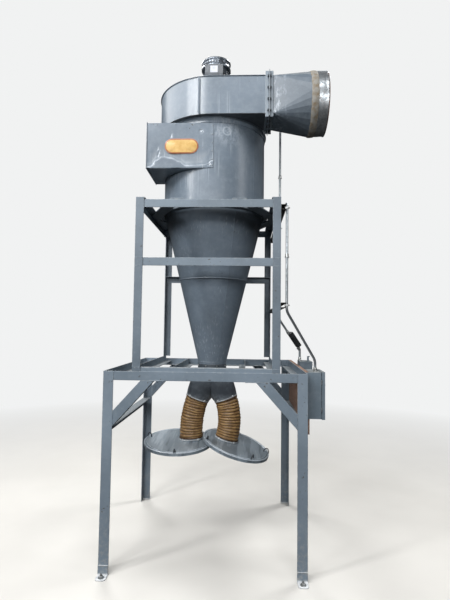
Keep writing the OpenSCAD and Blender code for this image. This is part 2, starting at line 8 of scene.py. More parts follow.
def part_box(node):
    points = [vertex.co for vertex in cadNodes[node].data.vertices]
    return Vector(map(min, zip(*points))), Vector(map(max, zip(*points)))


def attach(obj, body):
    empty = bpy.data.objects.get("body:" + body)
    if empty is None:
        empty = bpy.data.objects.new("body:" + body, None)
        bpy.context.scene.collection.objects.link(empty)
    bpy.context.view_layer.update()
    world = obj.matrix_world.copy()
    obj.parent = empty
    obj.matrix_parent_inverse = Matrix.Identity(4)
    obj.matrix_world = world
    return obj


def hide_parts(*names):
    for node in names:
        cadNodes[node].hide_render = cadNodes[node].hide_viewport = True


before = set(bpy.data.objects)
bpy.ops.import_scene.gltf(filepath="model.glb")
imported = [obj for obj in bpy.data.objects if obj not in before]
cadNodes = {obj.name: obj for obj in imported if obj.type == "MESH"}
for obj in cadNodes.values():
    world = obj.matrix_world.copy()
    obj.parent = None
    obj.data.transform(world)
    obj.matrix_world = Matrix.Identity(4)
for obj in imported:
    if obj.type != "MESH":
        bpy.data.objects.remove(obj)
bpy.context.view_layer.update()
print("frame loaded:", len(cadNodes), "nodes")

coneLow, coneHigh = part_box("cone")
axis = Vector(((coneLow.x + coneHigh.x) / 2, (coneLow.y + coneHigh.y) / 2, 0))  # the cyclone's upright axis
sheet = 0.003  # sheet steel of the cyclone, as thick as in the solids
upward, downward, rightward, frontward = (0, 0, 1), (0, 0, -1), (1, 0, 0), (0, -1, 0)

# Camera: the photo's place and turn, seen from standing height in front of the right half
view = {
    "place": (0.2901, -4.0968, 1.8201),
    "pitch": 0.0599,  # radians, nose up
    "yaw": -0.0434,  # radians, towards the left
    "roll": -0.0124,
    "focalPixels": 451,
    "photoHeight": 600,
    "sensor": 36,
}


def addCamera(look):
    cosYaw, sinYaw = math.cos(look["yaw"]), math.sin(look["yaw"])
    cosPitch, sinPitch = math.cos(look["pitch"]), math.sin(look["pitch"])
    forward = Vector((sinYaw * cosPitch, cosYaw * cosPitch, sinPitch))
    side = Vector((cosYaw, -sinYaw, 0))
    up = side.cross(forward)
    cosRoll, sinRoll = math.cos(look["roll"]), math.sin(look["roll"])
    right = cosRoll * side - sinRoll * up
    top = sinRoll * side + cosRoll * up
    data = bpy.data.cameras.new("photoCamera")
    data.sensor_fit = "VERTICAL"
    data.sensor_height = look["sensor"]
    data.lens = look["sensor"] * look["focalPixels"] / look["photoHeight"]
    camera = bpy.data.objects.new("photoCamera", data)
    bpy.context.scene.collection.objects.link(camera)
    turn = Matrix((right, top, -forward)).transposed().to_4x4()
    camera.matrix_world = Matrix.Translation(look["place"]) @ turn
    bpy.context.scene.camera = camera


addCamera(view)
print("camera placed")


# Material helpers

def hexColour(code):  # sRGB hex to Blender's linear colour
    parts = [int(code[i:i + 2], 16) / 255 for i in (1, 3, 5)]
    linear = [p / 12.92 if p <= 0.04045 else ((p + 0.055) / 1.055) ** 2.4 for p in parts]
    return (*linear, 1.0)


def addNode(tree, kind, settings=None, links=None):
    node = tree.nodes.new("ShaderNode" + kind)
    for key, value in (settings or {}).items():
        if key == "stops":
            while len(node.color_ramp.elements) < len(value):
                node.color_ramp.elements.new(1.0)
            for element, (place, colour) in zip(node.color_ramp.elements, value):
                element.position = place
                element.color = colour
        elif isinstance(key, str) and hasattr(node, key):
            setattr(node, key, value)
        else:
            node.inputs[key].default_value = value
    for key, socket in (links or {}).items():
        tree.links.new(socket, node.inputs[key])
    return node


def startMaterial(name, metallic, roughness, ior=None, clearCoat=0.0, coatRoughness=0.03):
    material = bpy.data.materials.new(name)
    material.use_nodes = True
    inputs = material.node_tree.nodes["Principled BSDF"].inputs
    for key, value in (("Metallic", metallic), ("Roughness", roughness), ("IOR", ior),
                       ("Coat Weight", clearCoat), ("Coat Roughness", coatRoughness)):
        if value is not None:
            inputs[key].default_value = value
    return material, *treeAndPlace(material)


def treeAndPlace(material):
    return material.node_tree, addNode(material.node_tree, "TexCoord").outputs["Object"]


def finished(material, sockets):  # hands the shader what was worked out for it
    for key, socket in sockets.items():
        material.node_tree.links.new(socket, material.node_tree.nodes["Principled BSDF"].inputs[key])
    return material


def noiseAt(tree, place, sizeMm, stretch=(1, 1, 1), detail=4.0, rough=0.55, shift=0.0):
    moved = {"Scale": stretch, "Location": (shift, shift, shift)}
    mapped = addNode(tree, "Mapping", moved, {"Vector": place})
    node = addNode(tree, "TexNoise", {"Scale": 1000 / sizeMm, "Detail": detail, "Roughness": rough},
                   {"Vector": mapped.outputs[0]})
    return node.outputs["Fac"]


def mask(tree, *bands):  # each band is (pattern, low, high) or also (least, most), and they are multiplied
    product = None
    for pattern, low, high, *ends in bands:
        least, most = ends or (0.0, 1.0)
        levels = {"clamp": True, 1: low, 2: high, 3: least, 4: most}
        part = addNode(tree, "MapRange", levels, {0: pattern}).outputs[0]
        if product is not None:
            part = addNode(tree, "Math", {"operation": "MULTIPLY"}, {0: product, 1: part}).outputs[0]
        product = part
    return product


def blendColour(tree, factor, first, second):
    node = addNode(tree, "Mix", {"data_type": "RGBA"})
    for index, value in ((0, factor), (6, first), (7, second)):
        if isinstance(value, tuple):
            node.inputs[index].default_value = value
        else:
            tree.links.new(value, node.inputs[index])
    return node.outputs[2]


def coat(tree, colour, code, *bands):  # lays a colour over another where the bands allow
    return blendColour(tree, mask(tree, *bands), colour, hexColour(code))


def overColour(material, code, *bands):  # lays one more colour over what a material already has
    socket = material.node_tree.nodes["Principled BSDF"].inputs["Base Color"]
    before = socket.links[0].from_socket
    finished(material, {"Base Color": coat(material.node_tree, before, code, *bands)})


# Sprayed alkyd enamel over sheet or angle steel: a satin blue-grey that mirrors lamps as soft upright bands
enamel = {
    "sheet": "#717e8b",
    "sheetDark": "#64707c",
    "frame": "#74828f",
    "frameDark": "#65727d",
    "chip": "#3b3a38",
    "dust": "#a8a79f",
    "edge": "#97a0a6",
    "drip": "#a9b1b8",
    "cloudMm": 600,
    "fadeMm": 45,
    "streakMm": 26,
    "chipMm": 16,
    "chipPatchMm": 300,  # patches in which the chips stand
    "dripMm": 11,
    "dripPatchMm": 420,
    "waveMm": 140,  # slow waves that rolling leaves in thin sheet
    "peelMm": 9,  # orange peel is about 1 mm, drawn coarser so that it shows
    "ior": 1.5,
    "clearCoat": 0.25,
    "coatRoughness": 0.22,
}


def sprayedEnamel(name, base, dark, roughness, wave, dustAmount, streaks=0.0):
    material, tree, place = startMaterial(name, 0.0, roughness, enamel["ior"], enamel["clearCoat"],
                                          enamel["coatRoughness"])
    broad = noiseAt(tree, place, enamel["cloudMm"], detail=3)
    fine = noiseAt(tree, place, enamel["fadeMm"], detail=5, rough=0.7, shift=3.1)
    runs = noiseAt(tree, place, enamel["streakMm"], (1, 1, 0.045), 4, 0.6, 7.7)
    colour = coat(tree, hexColour(base), dark, (broad, 0.35, 0.65))
    colour = coat(tree, colour, enamel["edge"], (fine, 0.45, 0.75, 0, 0.22))
    colour = coat(tree, colour, dark, (runs, 0.56, 0.74, 0, 0.30))
    normal = addNode(tree, "NewGeometry").outputs["Normal"]
    faceUp = addNode(tree, "SeparateXYZ", links={0: normal}).outputs[2]
    dusty = mask(tree, (faceUp, 0.55, 0.95, 0, dustAmount), (fine, 0.3, 0.6, 0.35, 1))
    colour = blendColour(tree, dusty, colour, hexColour(enamel["dust"]))
    specks = noiseAt(tree, place, enamel["chipMm"], detail=2, rough=0.4, shift=11.3)
    where = noiseAt(tree, place, enamel["chipPatchMm"], detail=2, shift=17.9)
    colour = coat(tree, colour, enamel["chip"], (specks, 0.72, 0.75), (where, 0.52, 0.62))
    lines = noiseAt(tree, place, enamel["dripMm"], (1, 1, 0.012), 2, 0.5, 41.0)
    patch = noiseAt(tree, place, enamel["dripPatchMm"], detail=2, shift=29.0)
    colour = coat(tree, colour, enamel["drip"], (lines, 0.60, 0.70), (patch, 0.48, 0.60, 0, streaks))
    worn = mask(tree, (fine, 0.3, 0.7, roughness - 0.05, roughness + 0.08))
    dull = addNode(tree, "Math", {"operation": "ADD"}, {0: worn, 1: dusty}).outputs[0]
    dull = addNode(tree, "Math", {"operation": "MINIMUM", 1: 0.9}, {0: dull}).outputs[0]
    waves = noiseAt(tree, place, enamel["waveMm"], (1, 1, 0.25), 2, 0.4, 23.0)
    peel = noiseAt(tree, place, enamel["peelMm"], detail=2, shift=31.0)
    slow = addNode(tree, "Bump", {"Strength": wave, "Distance": 0.004}, {"Height": waves})
    quick = addNode(tree, "Bump", {"Strength": 0.10, "Distance": 0.0004},
                    {"Height": peel, "Normal": slow.outputs[0]})
    return finished(material, {"Base Color": colour, "Roughness": dull, "Normal": quick.outputs[0]})


# The stand's paint is the same enamel over mill scale, thicker, duller and dirty near the floor
stain = {
    "bare": "#a3a9ab",  # edges worn to the steel
    "chip": "#43403c",
    "splash": "#a7a59f",  # concrete dust splashed up the legs
    "splashTop": 0.55,
    "dust": "#9b9c98",
    "sole": "#e2e5e7",  # plaster dust at the feet
    "cloudMm": 420,
    "fadeMm": 30,
    "chipMm": 20,
    "chipPatchMm": 220,
    "scaleMm": 12,  # mill scale under the paint
}


def brushedEnamel(name, base, dark):
    material, tree, place = startMaterial(name, 0.0, 0.48, enamel["ior"])
    broad = noiseAt(tree, place, stain["cloudMm"], detail=3)
    fine = noiseAt(tree, place, stain["fadeMm"], detail=6, rough=0.7, shift=3.1)
    colour = coat(tree, hexColour(base), dark, (broad, 0.35, 0.65))
    colour = coat(tree, colour, enamel["edge"], (fine, 0.52, 0.78, 0, 0.30))
    normal = addNode(tree, "NewGeometry").outputs["Normal"]
    softEdge = addNode(tree, "Bevel", {"samples": 6, "Radius": 0.006}).outputs[0]
    facing = addNode(tree, "VectorMath", {"operation": "DOT_PRODUCT"},
                     {0: softEdge, 1: normal}).outputs["Value"]
    colour = coat(tree, colour, stain["bare"], (facing, 0.995, 0.93), (fine, 0.42, 0.6))
    specks = noiseAt(tree, place, stain["chipMm"], detail=2, rough=0.4, shift=11.3)
    where = noiseAt(tree, place, stain["chipPatchMm"], detail=2, shift=17.9)
    colour = coat(tree, colour, stain["chip"], (specks, 0.70, 0.73), (where, 0.50, 0.60))
    height = addNode(tree, "SeparateXYZ", links={0: place}).outputs[2]
    faceUp = addNode(tree, "SeparateXYZ", links={0: normal}).outputs[2]
    splashed = (height, stain["splashTop"], 0.02, 0, 0.55)
    colour = coat(tree, colour, stain["splash"], splashed, (fine, 0.46, 0.68))
    colour = coat(tree, colour, stain["dust"], (faceUp, 0.6, 0.95, 0, 0.55), (fine, 0.35, 0.6, 0.4, 1))
    colour = coat(tree, colour, stain["sole"], (height, 0.020, 0.008), (fine, 0.35, 0.55, 0.45, 1))
    scale = noiseAt(tree, place, stain["scaleMm"], detail=4, shift=31.0)
    bumps = addNode(tree, "Bump", {"Strength": 0.25, "Distance": 0.0008},
                    {"Height": scale, "Normal": softEdge})
    return finished(material, {"Base Color": colour, "Roughness": mask(tree, (fine, 0.3, 0.7, 0.40, 0.60)),
                               "Normal": bumps.outputs[0]})


# Hot-dip galvanised sheet: zinc crystals, each mirroring a little differently, under pale clouds and rust
zinc = {
    "metallic": 0.85,
    "bloom": "#c9cdd0",
    "rust": "#6b4a33",
    "crystalMm": 15,
    "bloomMm": 90,
    "rustMm": 55,
}


def galvanisedSheet(name, light, dark, rust):
    material, tree, place = startMaterial(name, zinc["metallic"], 0.4)
    crystals = addNode(tree, "TexVoronoi", {"Scale": 1000 / zinc["crystalMm"]}, {"Vector": place})
    tone = addNode(tree, "SeparateColor", links={0: crystals.outputs["Color"]}).outputs[0]
    cloud = noiseAt(tree, place, zinc["bloomMm"], detail=5, rough=0.65, shift=5.0)
    colour = blendColour(tree, tone, hexColour(light), hexColour(dark))
    colour = coat(tree, colour, zinc["bloom"], (cloud, 0.50, 0.66, 0, 0.7))
    rusty = noiseAt(tree, place, zinc["rustMm"], detail=6, rough=0.75, shift=13.0)
    spread = mask(tree, (rusty, 0.62 - 0.2 * rust, 0.70 - 0.12 * rust, 0, min(1.0, 0.25 + rust)))
    colour = blendColour(tree, spread, colour, hexColour(zinc["rust"]))
    metal = addNode(tree, "Math", {"operation": "SUBTRACT", 0: zinc["metallic"]}, {1: spread}).outputs[0]
    metal = addNode(tree, "Math", {"operation": "MAXIMUM", 1: 0.0}, {0: metal}).outputs[0]
    worn, matt = mask(tree, (tone, 0, 1, 0.30, 0.44)), mask(tree, (spread, 0, 1, 0, 0.4))
    rough = addNode(tree, "Math", {"operation": "ADD"}, {0: worn, 1: matt}).outputs[0]
    bumps = addNode(tree, "Bump", {"Strength": 0.25, "Distance": 0.0006}, {"Height": cloud}).outputs[0]
    return finished(material, {"Base Color": colour, "Metallic": metal, "Roughness": rough, "Normal": bumps})


# Rubber-coated fabric hose, its skin pulled in by the wire: painted shade darkens the brown grooves and a
# painted highlight lightens the amber crowns
rubber = {
    "grooveShadeToCrownHighlight": ((0.0, "#1c140e"), (0.20, "#38281b"), (0.46, "#6f5030"), (1.0, "#ab8b5c")),  # painted shade in the groove to painted highlight on the crown
    "stain": "#5d452f",
    "thread": "#ae9062",
    "stainMm": 60,
    "threadMm": 7,  # threads are finer, drawn so that they show
}


def hoseRubber():
    material, tree, place = startMaterial("coatedFabricHose", 0.0, 0.42, 1.5)
    crown = addNode(tree, "Attribute", {"attribute_name": "crown"}).outputs["Fac"]
    cloud = noiseAt(tree, place, rubber["stainMm"], detail=5, rough=0.7)
    strands = noiseAt(tree, place, rubber["threadMm"], (1, 1, 0.4), 3, 0.6, 4.0)
    stops = [(depth, hexColour(code)) for depth, code in rubber["grooveShadeToCrownHighlight"]]
    colour = addNode(tree, "ValToRGB", {"stops": stops}, {0: crown}).outputs[0]
    colour = coat(tree, colour, rubber["stain"], (cloud, 0.46, 0.62, 0, 0.5))
    colour = coat(tree, colour, rubber["thread"], (strands, 0.58, 0.78, 0, 0.35))
    bumps = addNode(tree, "Bump", {"Strength": 0.35, "Distance": 0.001}, {"Height": strands}).outputs[0]
    return finished(material, {"Base Color": colour, "Roughness": mask(tree, (cloud, 0.3, 0.7, 0.34, 0.58)),
                               "Normal": bumps})


# Zinc-plated bolts and clamps, dulled by dust
plating = {
    "bright": "#b9bcbd",
    "dusty": "#7d7c78",
    "cloudMm": 18,
}


def platedSteel():
    material, tree, place = startMaterial("zincPlatedSteel", 0.9, 0.36)
    cloud = noiseAt(tree, place, plating["cloudMm"], detail=4)
    colour = coat(tree, hexColour(plating["bright"]), plating["dusty"], (cloud, 0.4, 0.7))
    return finished(material, {"Base Color": colour,
                               "Roughness": mask(tree, (cloud, 0.3, 0.7, 0.28, 0.5))})


# Plywood painted brown: the grain shows through the thin coat
wood = {
    "paint": "#997b6b",
    "grain": "#775c4f",
    "faded": "#94796a",
    "grainMm": 10,
    "fadedMm": 160,
}


def paintedPlywood():
    material, tree, place = startMaterial("paintedPlywood", 0.0, 0.68, 1.45)
    grain = noiseAt(tree, place, wood["grainMm"], (1, 0.06, 1), 5, 0.6)
    cloud = noiseAt(tree, place, wood["fadedMm"], detail=4, shift=2.0)
    colour = coat(tree, hexColour(wood["paint"]), wood["grain"], (grain, 0.4, 0.65))
    colour = coat(tree, colour, wood["faded"], (cloud, 0.5, 0.68, 0, 0.5))
    bumps = addNode(tree, "Bump", {"Strength": 0.4, "Distance": 0.001}, {"Height": grain}).outputs[0]
    return finished(material, {"Base Color": colour, "Normal": bumps})


# A plain coat with slight clouding, for small painted, moulded or baked pieces
def plainCoat(name, code, metallic, roughness, cloudCode, cloudMm=30, clearCoat=0.0):
    material, tree, place = startMaterial(name, metallic, roughness, None if metallic else 1.5, clearCoat)
    cloud = noiseAt(tree, place, cloudMm, detail=4, rough=0.6)
    colour = coat(tree, hexColour(code), cloudCode, (cloud, 0.42, 0.72))
    dull = mask(tree, (cloud, 0.3, 0.7, roughness - 0.06, roughness + 0.10))
    bumps = addNode(tree, "Bump", {"Strength": 0.15, "Distance": 0.0005}, {"Height": cloud}).outputs[0]
    return finished(material, {"Base Color": colour, "Roughness": dull, "Normal": bumps})


# Light and dark colour, roughness, waves, dust and streaks of each sprayed piece
bodyPaint = sprayedEnamel("sprayedEnamelOnSheet", enamel["sheet"], enamel["sheetDark"], 0.32, 0.5, 0.55, 0.6)
boxPaint = sprayedEnamel("bakedEnamelOnBoxes", "#66747f", "#5d6a74", 0.40, 0.05, 0.5)
branchPaint = sprayedEnamel("enamelOnBranchSheet", "#5c646c", "#4f565e", 0.38, 0.35, 0.4)
# painted light: the lids get a lighter copy of the body enamel
litLidPaint = sprayedEnamel("enamelOnPressedLidsPaintedLight", "#85929d", "#76838e", 0.34, 0.12, 0.15)
# painted highlight: the lids' rolled rims get a much lighter copy of the enamel
rimHighlightPaint = sprayedEnamel("enamelOnRolledRimsPaintedHighlight", "#c2ccd5", "#a7b2bc", 0.26, 0.0, 0.1)
# painted shade: the casing's floor gets a darker copy of the body enamel
shadedUndersidePaint = sprayedEnamel("enamelOnCasingFloorPaintedShade", "#424a52", "#373e45", 0.46, 0.3, 0.7)
outletPaint = sprayedEnamel("enamelOnFoldedSheet", "#616c77", "#55606a", 0.52, 0.25, 0.55)
# Light and dark colour: painted shade makes the upper posts darker than the legs and rails, and painted
# light makes the legs lighter than the rails
framePaint = brushedEnamel("enamelOnRolledAngle", enamel["frame"], enamel["frameDark"])
litLegPaint = brushedEnamel("enamelOnLegsPaintedLight", "#7e8c99", "#6e7b87")
shadedPostPaint = brushedEnamel("enamelOnPostsPaintedShade", "#697682", "#5b6772")
# painted light: the flange angle gets a lighter copy of the stand's enamel, so that its legs read as lit
litFlangePaint = brushedEnamel("enamelOnFlangeAnglePaintedLight", "#8b959e", "#79848e")
zincSheet = galvanisedSheet("galvanisedSheet", "#b8bec2", "#949ba0", 0.35)
zincTube = galvanisedSheet("galvanisedConduit", "#b4bbc0", "#9aa1a6", 0.05)
hoseSkin = hoseRubber()
plated = platedSteel()
plywood = paintedPlywood()
motorPaint = plainCoat("castIronEnamel", "#3d434a", 0.0, 0.34, "#525961", 40, 0.4)  # dipped and glossy
coverPaint = plainCoat("bakedBlackEnamel", "#656d77", 0.6, 0.22, "#79818b", 50, 0.5)  # mirrors the roof
fanSteel = plainCoat("dustySteel", "#4c4f50", 0.5, 0.55, "#6a665f", 60)  # dull under a film of dust
sealant = plainCoat("driedDuctSealant", "#8b8983", 0.0, 0.75, "#77674f", 30)  # brushed on, dries chalky
yellowEnamel = plainCoat("yellowEnamelPlate", "#cba75f", 0.0, 0.5, "#b98f45", 45, 0.1)  # fired, faded
orangeEnamel = plainCoat("orangeEnamelEdge", "#a0602f", 0.0, 0.45, "#8f5436", 30, 0.2)  # fired and glossy
blankLabel = plainCoat("paperLabel", "#c6c9d0", 0.0, 0.5, "#aeb3bb", 30)  # matt paper, bare
darkPlastic = plainCoat("mouldedPhenolic", "#1f2123", 0.0, 0.42, "#2c2f31", 30)  # moulded, a faint sheen
blackenedSteel = plainCoat("blackenedLatchSteel", "#33373b", 0.4, 0.45, "#5d646b", 9)  # rubbed pale
zincScrew = plainCoat("brightZincScrew", "#dfe3e5", 0.3, 0.35, "#b9bec1", 12)  # plated, small bright points
scuffedRim = plainCoat("scuffedEnamelRim", "#a5abb0", 0.1, 0.5, "#d8dbdc", 18)  # rubbed to the primer
hoseBand = plainCoat("rubberisedClampBand", "#5b4226", 0.0, 0.5, "#2e2118", 22)  # woven and matt
dullBolt = plainCoat("paintedBoltSteel", "#6d767e", 0.3, 0.45, "#9aa0a4", 12)  # sprayed over, worn
brightRivet = plainCoat("bareAluminiumRivet", "#c9ced2", 0.8, 0.32, "#9ea4a9", 10)  # pressed, bright
channelSteel = plainCoat("dullChannelSteel", "#35332f", 0.15, 0.65, "#262421", 25)  # rolled, coloured near black
rustySteel = plainCoat("rustedSteel", "#5b3a28", 0.1, 0.8, "#3d2a20", 25)  # cut edge, rusted matt


# Marks that only some pieces have, laid over their paint
marks = {
    "ringShadeFoot": (2.50, 2.75),  # painted shade under the support ring, darkest just below it
    "ringShadeTop": (2.79, 2.775),
    "ringShade": "#262b30",
    "ringAt": (0.133, -0.472, 3.434),  # round scuff on the front of the barrel
    "ringInside": (0.024, 0.031),
    "ringOutside": (0.041, 0.034),
    "ring": "#b9c2cb",
    "rub": "#a7b0ba",  # paint rubbed inside the ring
    "rubMm": 30,
    "fold": "#cfd8e1",  # paint cracked off the folds of the inlet's dents, with a painted highlight along them
    "lidReflectionDark": "#5b656d",  # painted reflections of the hall, in dark and pale bands on the lids
    "lidReflectionPale": "#a5afb8",
    "lidReflectionMm": 85,
    "outletRub": "#c4cdd8",
    "outletMm": 38,
    # painted shadow of the rail, darker up the branch, and rubbed paint with a painted highlight, paler
    # towards its foot
    "branchRailShadow": "#2b2f34",
    "branchRubAndHighlight": "#98a0a7",
    "branchMm": 26,
    "branchRailShadowHeights": (1.29, 1.40),  # heights on the branch
    "branchRubAndHighlightHeights": (1.245, 1.175),
}


def weatherPieces():
    tree, place = treeAndPlace(litLidPaint)
    bands = noiseAt(tree, place, marks["lidReflectionMm"], (1, 0.10, 0.4), 3, 0.6, 6.0)
    overColour(litLidPaint, marks["lidReflectionDark"], (bands, 0.52, 0.58, 0, 0.7))
    overColour(litLidPaint, marks["lidReflectionPale"], (bands, 0.46, 0.40, 0, 0.6))
    tree, place = treeAndPlace(bodyPaint)
    height = addNode(tree, "SeparateXYZ", links={0: place}).outputs[2]
    overColour(bodyPaint, marks["ringShade"], (height, *marks["ringShadeFoot"], 0, 0.7), (height, *marks["ringShadeTop"]))
    gap = addNode(tree, "VectorMath", {"operation": "DISTANCE", 1: marks["ringAt"]},
                  {0: place}).outputs["Value"]
    overColour(bodyPaint, marks["ring"], (gap, *marks["ringInside"]), (gap, *marks["ringOutside"], 0, 0.45))
    rubs = noiseAt(tree, place, marks["rubMm"], (1, 1, 0.45), 5, 0.75, 3.7)
    overColour(bodyPaint, marks["rub"], (gap, 0.16, 0.04), (rubs, 0.44, 0.60, 0, 0.7))
    # rubbed paint with a painted highlight along the inlet's folds
    rubbedAndHighlighted = addNode(tree, "Attribute", {"attribute_name": "rub"}).outputs["Fac"]
    overColour(bodyPaint, marks["fold"], (rubbedAndHighlighted, 0, 1), (rubs, 0.30, 0.55, 0.45, 1))
    tree, place = treeAndPlace(outletPaint)
    along = addNode(tree, "SeparateXYZ", links={0: place}).outputs[0]
    scuffs = noiseAt(tree, place, marks["outletMm"], (1, 1, 0.35), 5, 0.75, 2.2)
    overColour(outletPaint, marks["outletRub"], (along, 0.64, 0.53), (scuffs, 0.52, 0.66, 0, 0.8))
    tree, place = treeAndPlace(branchPaint)
    height = addNode(tree, "SeparateXYZ", links={0: place}).outputs[2]
    rubs = noiseAt(tree, place, marks["branchMm"], detail=5, rough=0.7, shift=9.0)
    overColour(branchPaint, marks["branchRailShadow"], (height, *marks["branchRailShadowHeights"], 0, 0.55))
    overColour(branchPaint, marks["branchRubAndHighlight"], (height, *marks["branchRubAndHighlightHeights"]), (rubs, 0.40, 0.62, 0.1, 0.85))


weatherPieces()
print("materials made:", len(bpy.data.materials))


# Mesh helpers

def addMesh(name, verts, faces, material, slotName, smooth=True, stands=(), sharpAngle=35):
    mesh = bpy.data.meshes.new(name)
    mesh.from_pydata([tuple(v) for v in verts], [], faces)
    mesh.validate()
    shape = bmesh.new()
    shape.from_mesh(mesh)
    bmesh.ops.recalc_face_normals(shape, faces=shape.faces)
    if smooth:
        for edge in shape.edges:
            edge.smooth = len(edge.link_faces) != 2 or edge.calc_face_angle(0) < math.radians(sharpAngle)
        for face in shape.faces:
            face.smooth = True
    shape.to_mesh(mesh)
    shape.free()
    mesh.materials.append(material)
    piece = bpy.data.objects.new(name, mesh)
    bpy.context.scene.collection.objects.link(piece)
    if stands:
        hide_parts(*stands)
    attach(piece, "root")
    return piece


def addParts(name, parts, *look):  # one piece from several meshes
    return addMesh(name, *joined(parts), *look)


def cleaned(piece, distance):  # joins corners that meet, drops loose ones and turns all faces outward
    shape = bmesh.new()
    shape.from_mesh(piece.data)
    bmesh.ops.remove_doubles(shape, verts=shape.verts, dist=distance)
    bmesh.ops.delete(shape, geom=[v for v in shape.verts if not v.link_faces], context="VERTS")
    bmesh.ops.recalc_face_normals(shape, faces=shape.faces)
    shape.to_mesh(piece.data)
    shape.free()


def thicken(piece, thickness):  # the wall grows inward from the drawn skin
    change = piece.modifiers.new("wall", "SOLIDIFY")
    change.thickness = thickness
    change.offset = -1


def bevelled(piece, width, segments=2):
    change = piece.modifiers.new("roundedEdges", "BEVEL")
    change.width = width
    change.segments = segments
    change.limit_method = "ANGLE"
    change.angle_limit = math.radians(40)


def turnBy(degrees, way="Z"):
    return Matrix.Rotation(math.radians(degrees), 4, way)


def around(turn, radius=1.0, height=0.0):  # point on a circle round local Z
    return Vector((radius * math.cos(turn), radius * math.sin(turn), height))


def skinFaces(rows, columns, wrap=True):  # quads between neighbouring rows of points
    faces = []
    for row in range(rows - 1):
        for column in range(columns if wrap else columns - 1):
            after = (column + 1) % columns
            faces.append((row * columns + column, row * columns + after,
                          (row + 1) * columns + after, (row + 1) * columns + column))
    return faces


def grid(rows, columns, place, wrap=False):  # place(row, column) gives a point
    verts = [Vector(place(row, column)) for row in range(rows) for column in range(columns)]
    return verts, skinFaces(rows, columns, wrap)


def lathe(profile, steps, matrix=Matrix(), closed=False):  # profile of (radius, height) round local Z
    verts, faces = [], []
    count = len(profile)
    for step in range(steps):
        turn = 2 * math.pi * step / steps
        verts += [matrix @ around(turn, radius, height) for radius, height in profile]
    for step in range(steps):
        after = (step + 1) % steps
        for row in range(count if closed else count - 1):
            up = (row + 1) % count
            faces.append((step * count + row, after * count + row, after * count + up, step * count + up))
    return verts, faces


def boxMesh(low, high, matrix=Matrix()):
    verts = [matrix @ Vector((x, y, z)) for z in (low[2], high[2]) for y in (low[1], high[1])
             for x in (low[0], high[0])]
    faces = [(0, 2, 3, 1), (4, 5, 7, 6), (0, 1, 5, 4), (2, 6, 7, 3), (0, 4, 6, 2), (1, 3, 7, 5)]
    return verts, faces


def joined(parts):  # one list of verts and faces from several
    verts, faces = [], []
    for more, shapes in parts:
        start = len(verts)
        verts.extend(more)
        faces.extend(tuple(start + index for index in shape) for shape in shapes)
    return verts, faces


def pointing(place, direction, turn=0.0):  # matrix that puts local +Z along direction
    aim = Vector(direction).normalized().to_track_quat("Z", "Y").to_matrix().to_4x4()
    return Matrix.Translation(Vector(place)) @ aim @ Matrix.Rotation(turn, 4, "Z")


boltSizes = {  # width across the flats and height of the head
    "anchor": (0.024, 0.013),
    "latch": (0.019, 0.013),
    "flange": (0.017, 0.011),
    "frame": (0.016, 0.010),
    "ring": (0.014, 0.008),
    "hose": (0.014, 0.006),
    "motorFoot": (0.013, 0.009),
    "small": (0.012, 0.006),
    "strap": (0.010, 0.008),
    "casing": (0.010, 0.006),
    "switch": (0.010, 0.005),
    "collar": (0.009, 0.005),
    "cover": (0.008, 0.003),
    "terminal": (0.007, 0.003),
}
boltShape = {
    "washer": 0.0016,
    "washerReach": 0.62,  # radius of the washer over the width across the flats
    "shoulder": 0.85,  # share of the head's height where its chamfer starts
    "crown": 0.86,  # radius of the head's top over that of its corners
}


def hexBolt(place, direction, size, washer=True, turn=0.2):
    across, head = boltSizes[size]
    matrix = pointing(place, direction, turn)
    radius = across / 2 / math.cos(math.pi / 6)
    base = boltShape["washer"] if washer else 0.0
    parts = []
    if washer:
        reach = across * boltShape["washerReach"]
        parts.append(lathe([(0, 0), (reach, 0), (reach, base), (0, base)], 14, matrix))
    profile = [(radius, base), (radius, base + head * boltShape["shoulder"]),
               (radius * boltShape["crown"], base + head), (0, base + head)]
    parts.append(lathe(profile, 6, matrix))
    return joined(parts)


def tube(points, radius, sides=12, ends=True):  # round bar or tube along a list of points
    path = [Vector(p) for p in points]
    last = len(path) - 1
    tangents = [(path[min(i + 1, last)] - path[max(i - 1, 0)]).normalized() for i in range(last + 1)]
    normal = tangents[0].orthogonal().normalized()
    verts = []
    for index, (point, tangent) in enumerate(zip(path, tangents)):
        normal = (normal - tangent * normal.dot(tangent)).normalized()
        across = tangent.cross(normal)
        width = radius[index] if isinstance(radius, list) else radius
        for side in range(sides):
            turn = 2 * math.pi * side / sides
            verts.append(point + (normal * math.cos(turn) + across * math.sin(turn)) * width)
    faces = skinFaces(last + 1, sides)
    if ends:
        faces.append(tuple(range(sides - 1, -1, -1)))
        faces.append(tuple(last * sides + side for side in range(sides)))
    return verts, faces


def rounded(points, bend, steps=7):  # corners of a path turned into arcs
    path = [Vector(p) for p in points]
    route = [path[0]]
    for before, corner, after in zip(path, path[1:], path[2:]):
        back, on = (before - corner).normalized(), (after - corner).normalized()
        half = back.angle(on) / 2
        reach = min(bend / math.tan(half), (before - corner).length * 0.45, (after - corner).length * 0.45)
        start, end = corner + back * reach, corner + on * reach
        for step in range(steps + 1):
            t = step / steps
            route.append(start * (1 - t) ** 2 + corner * 2 * t * (1 - t) + end * t ** 2)
    route.append(path[-1])
    return route


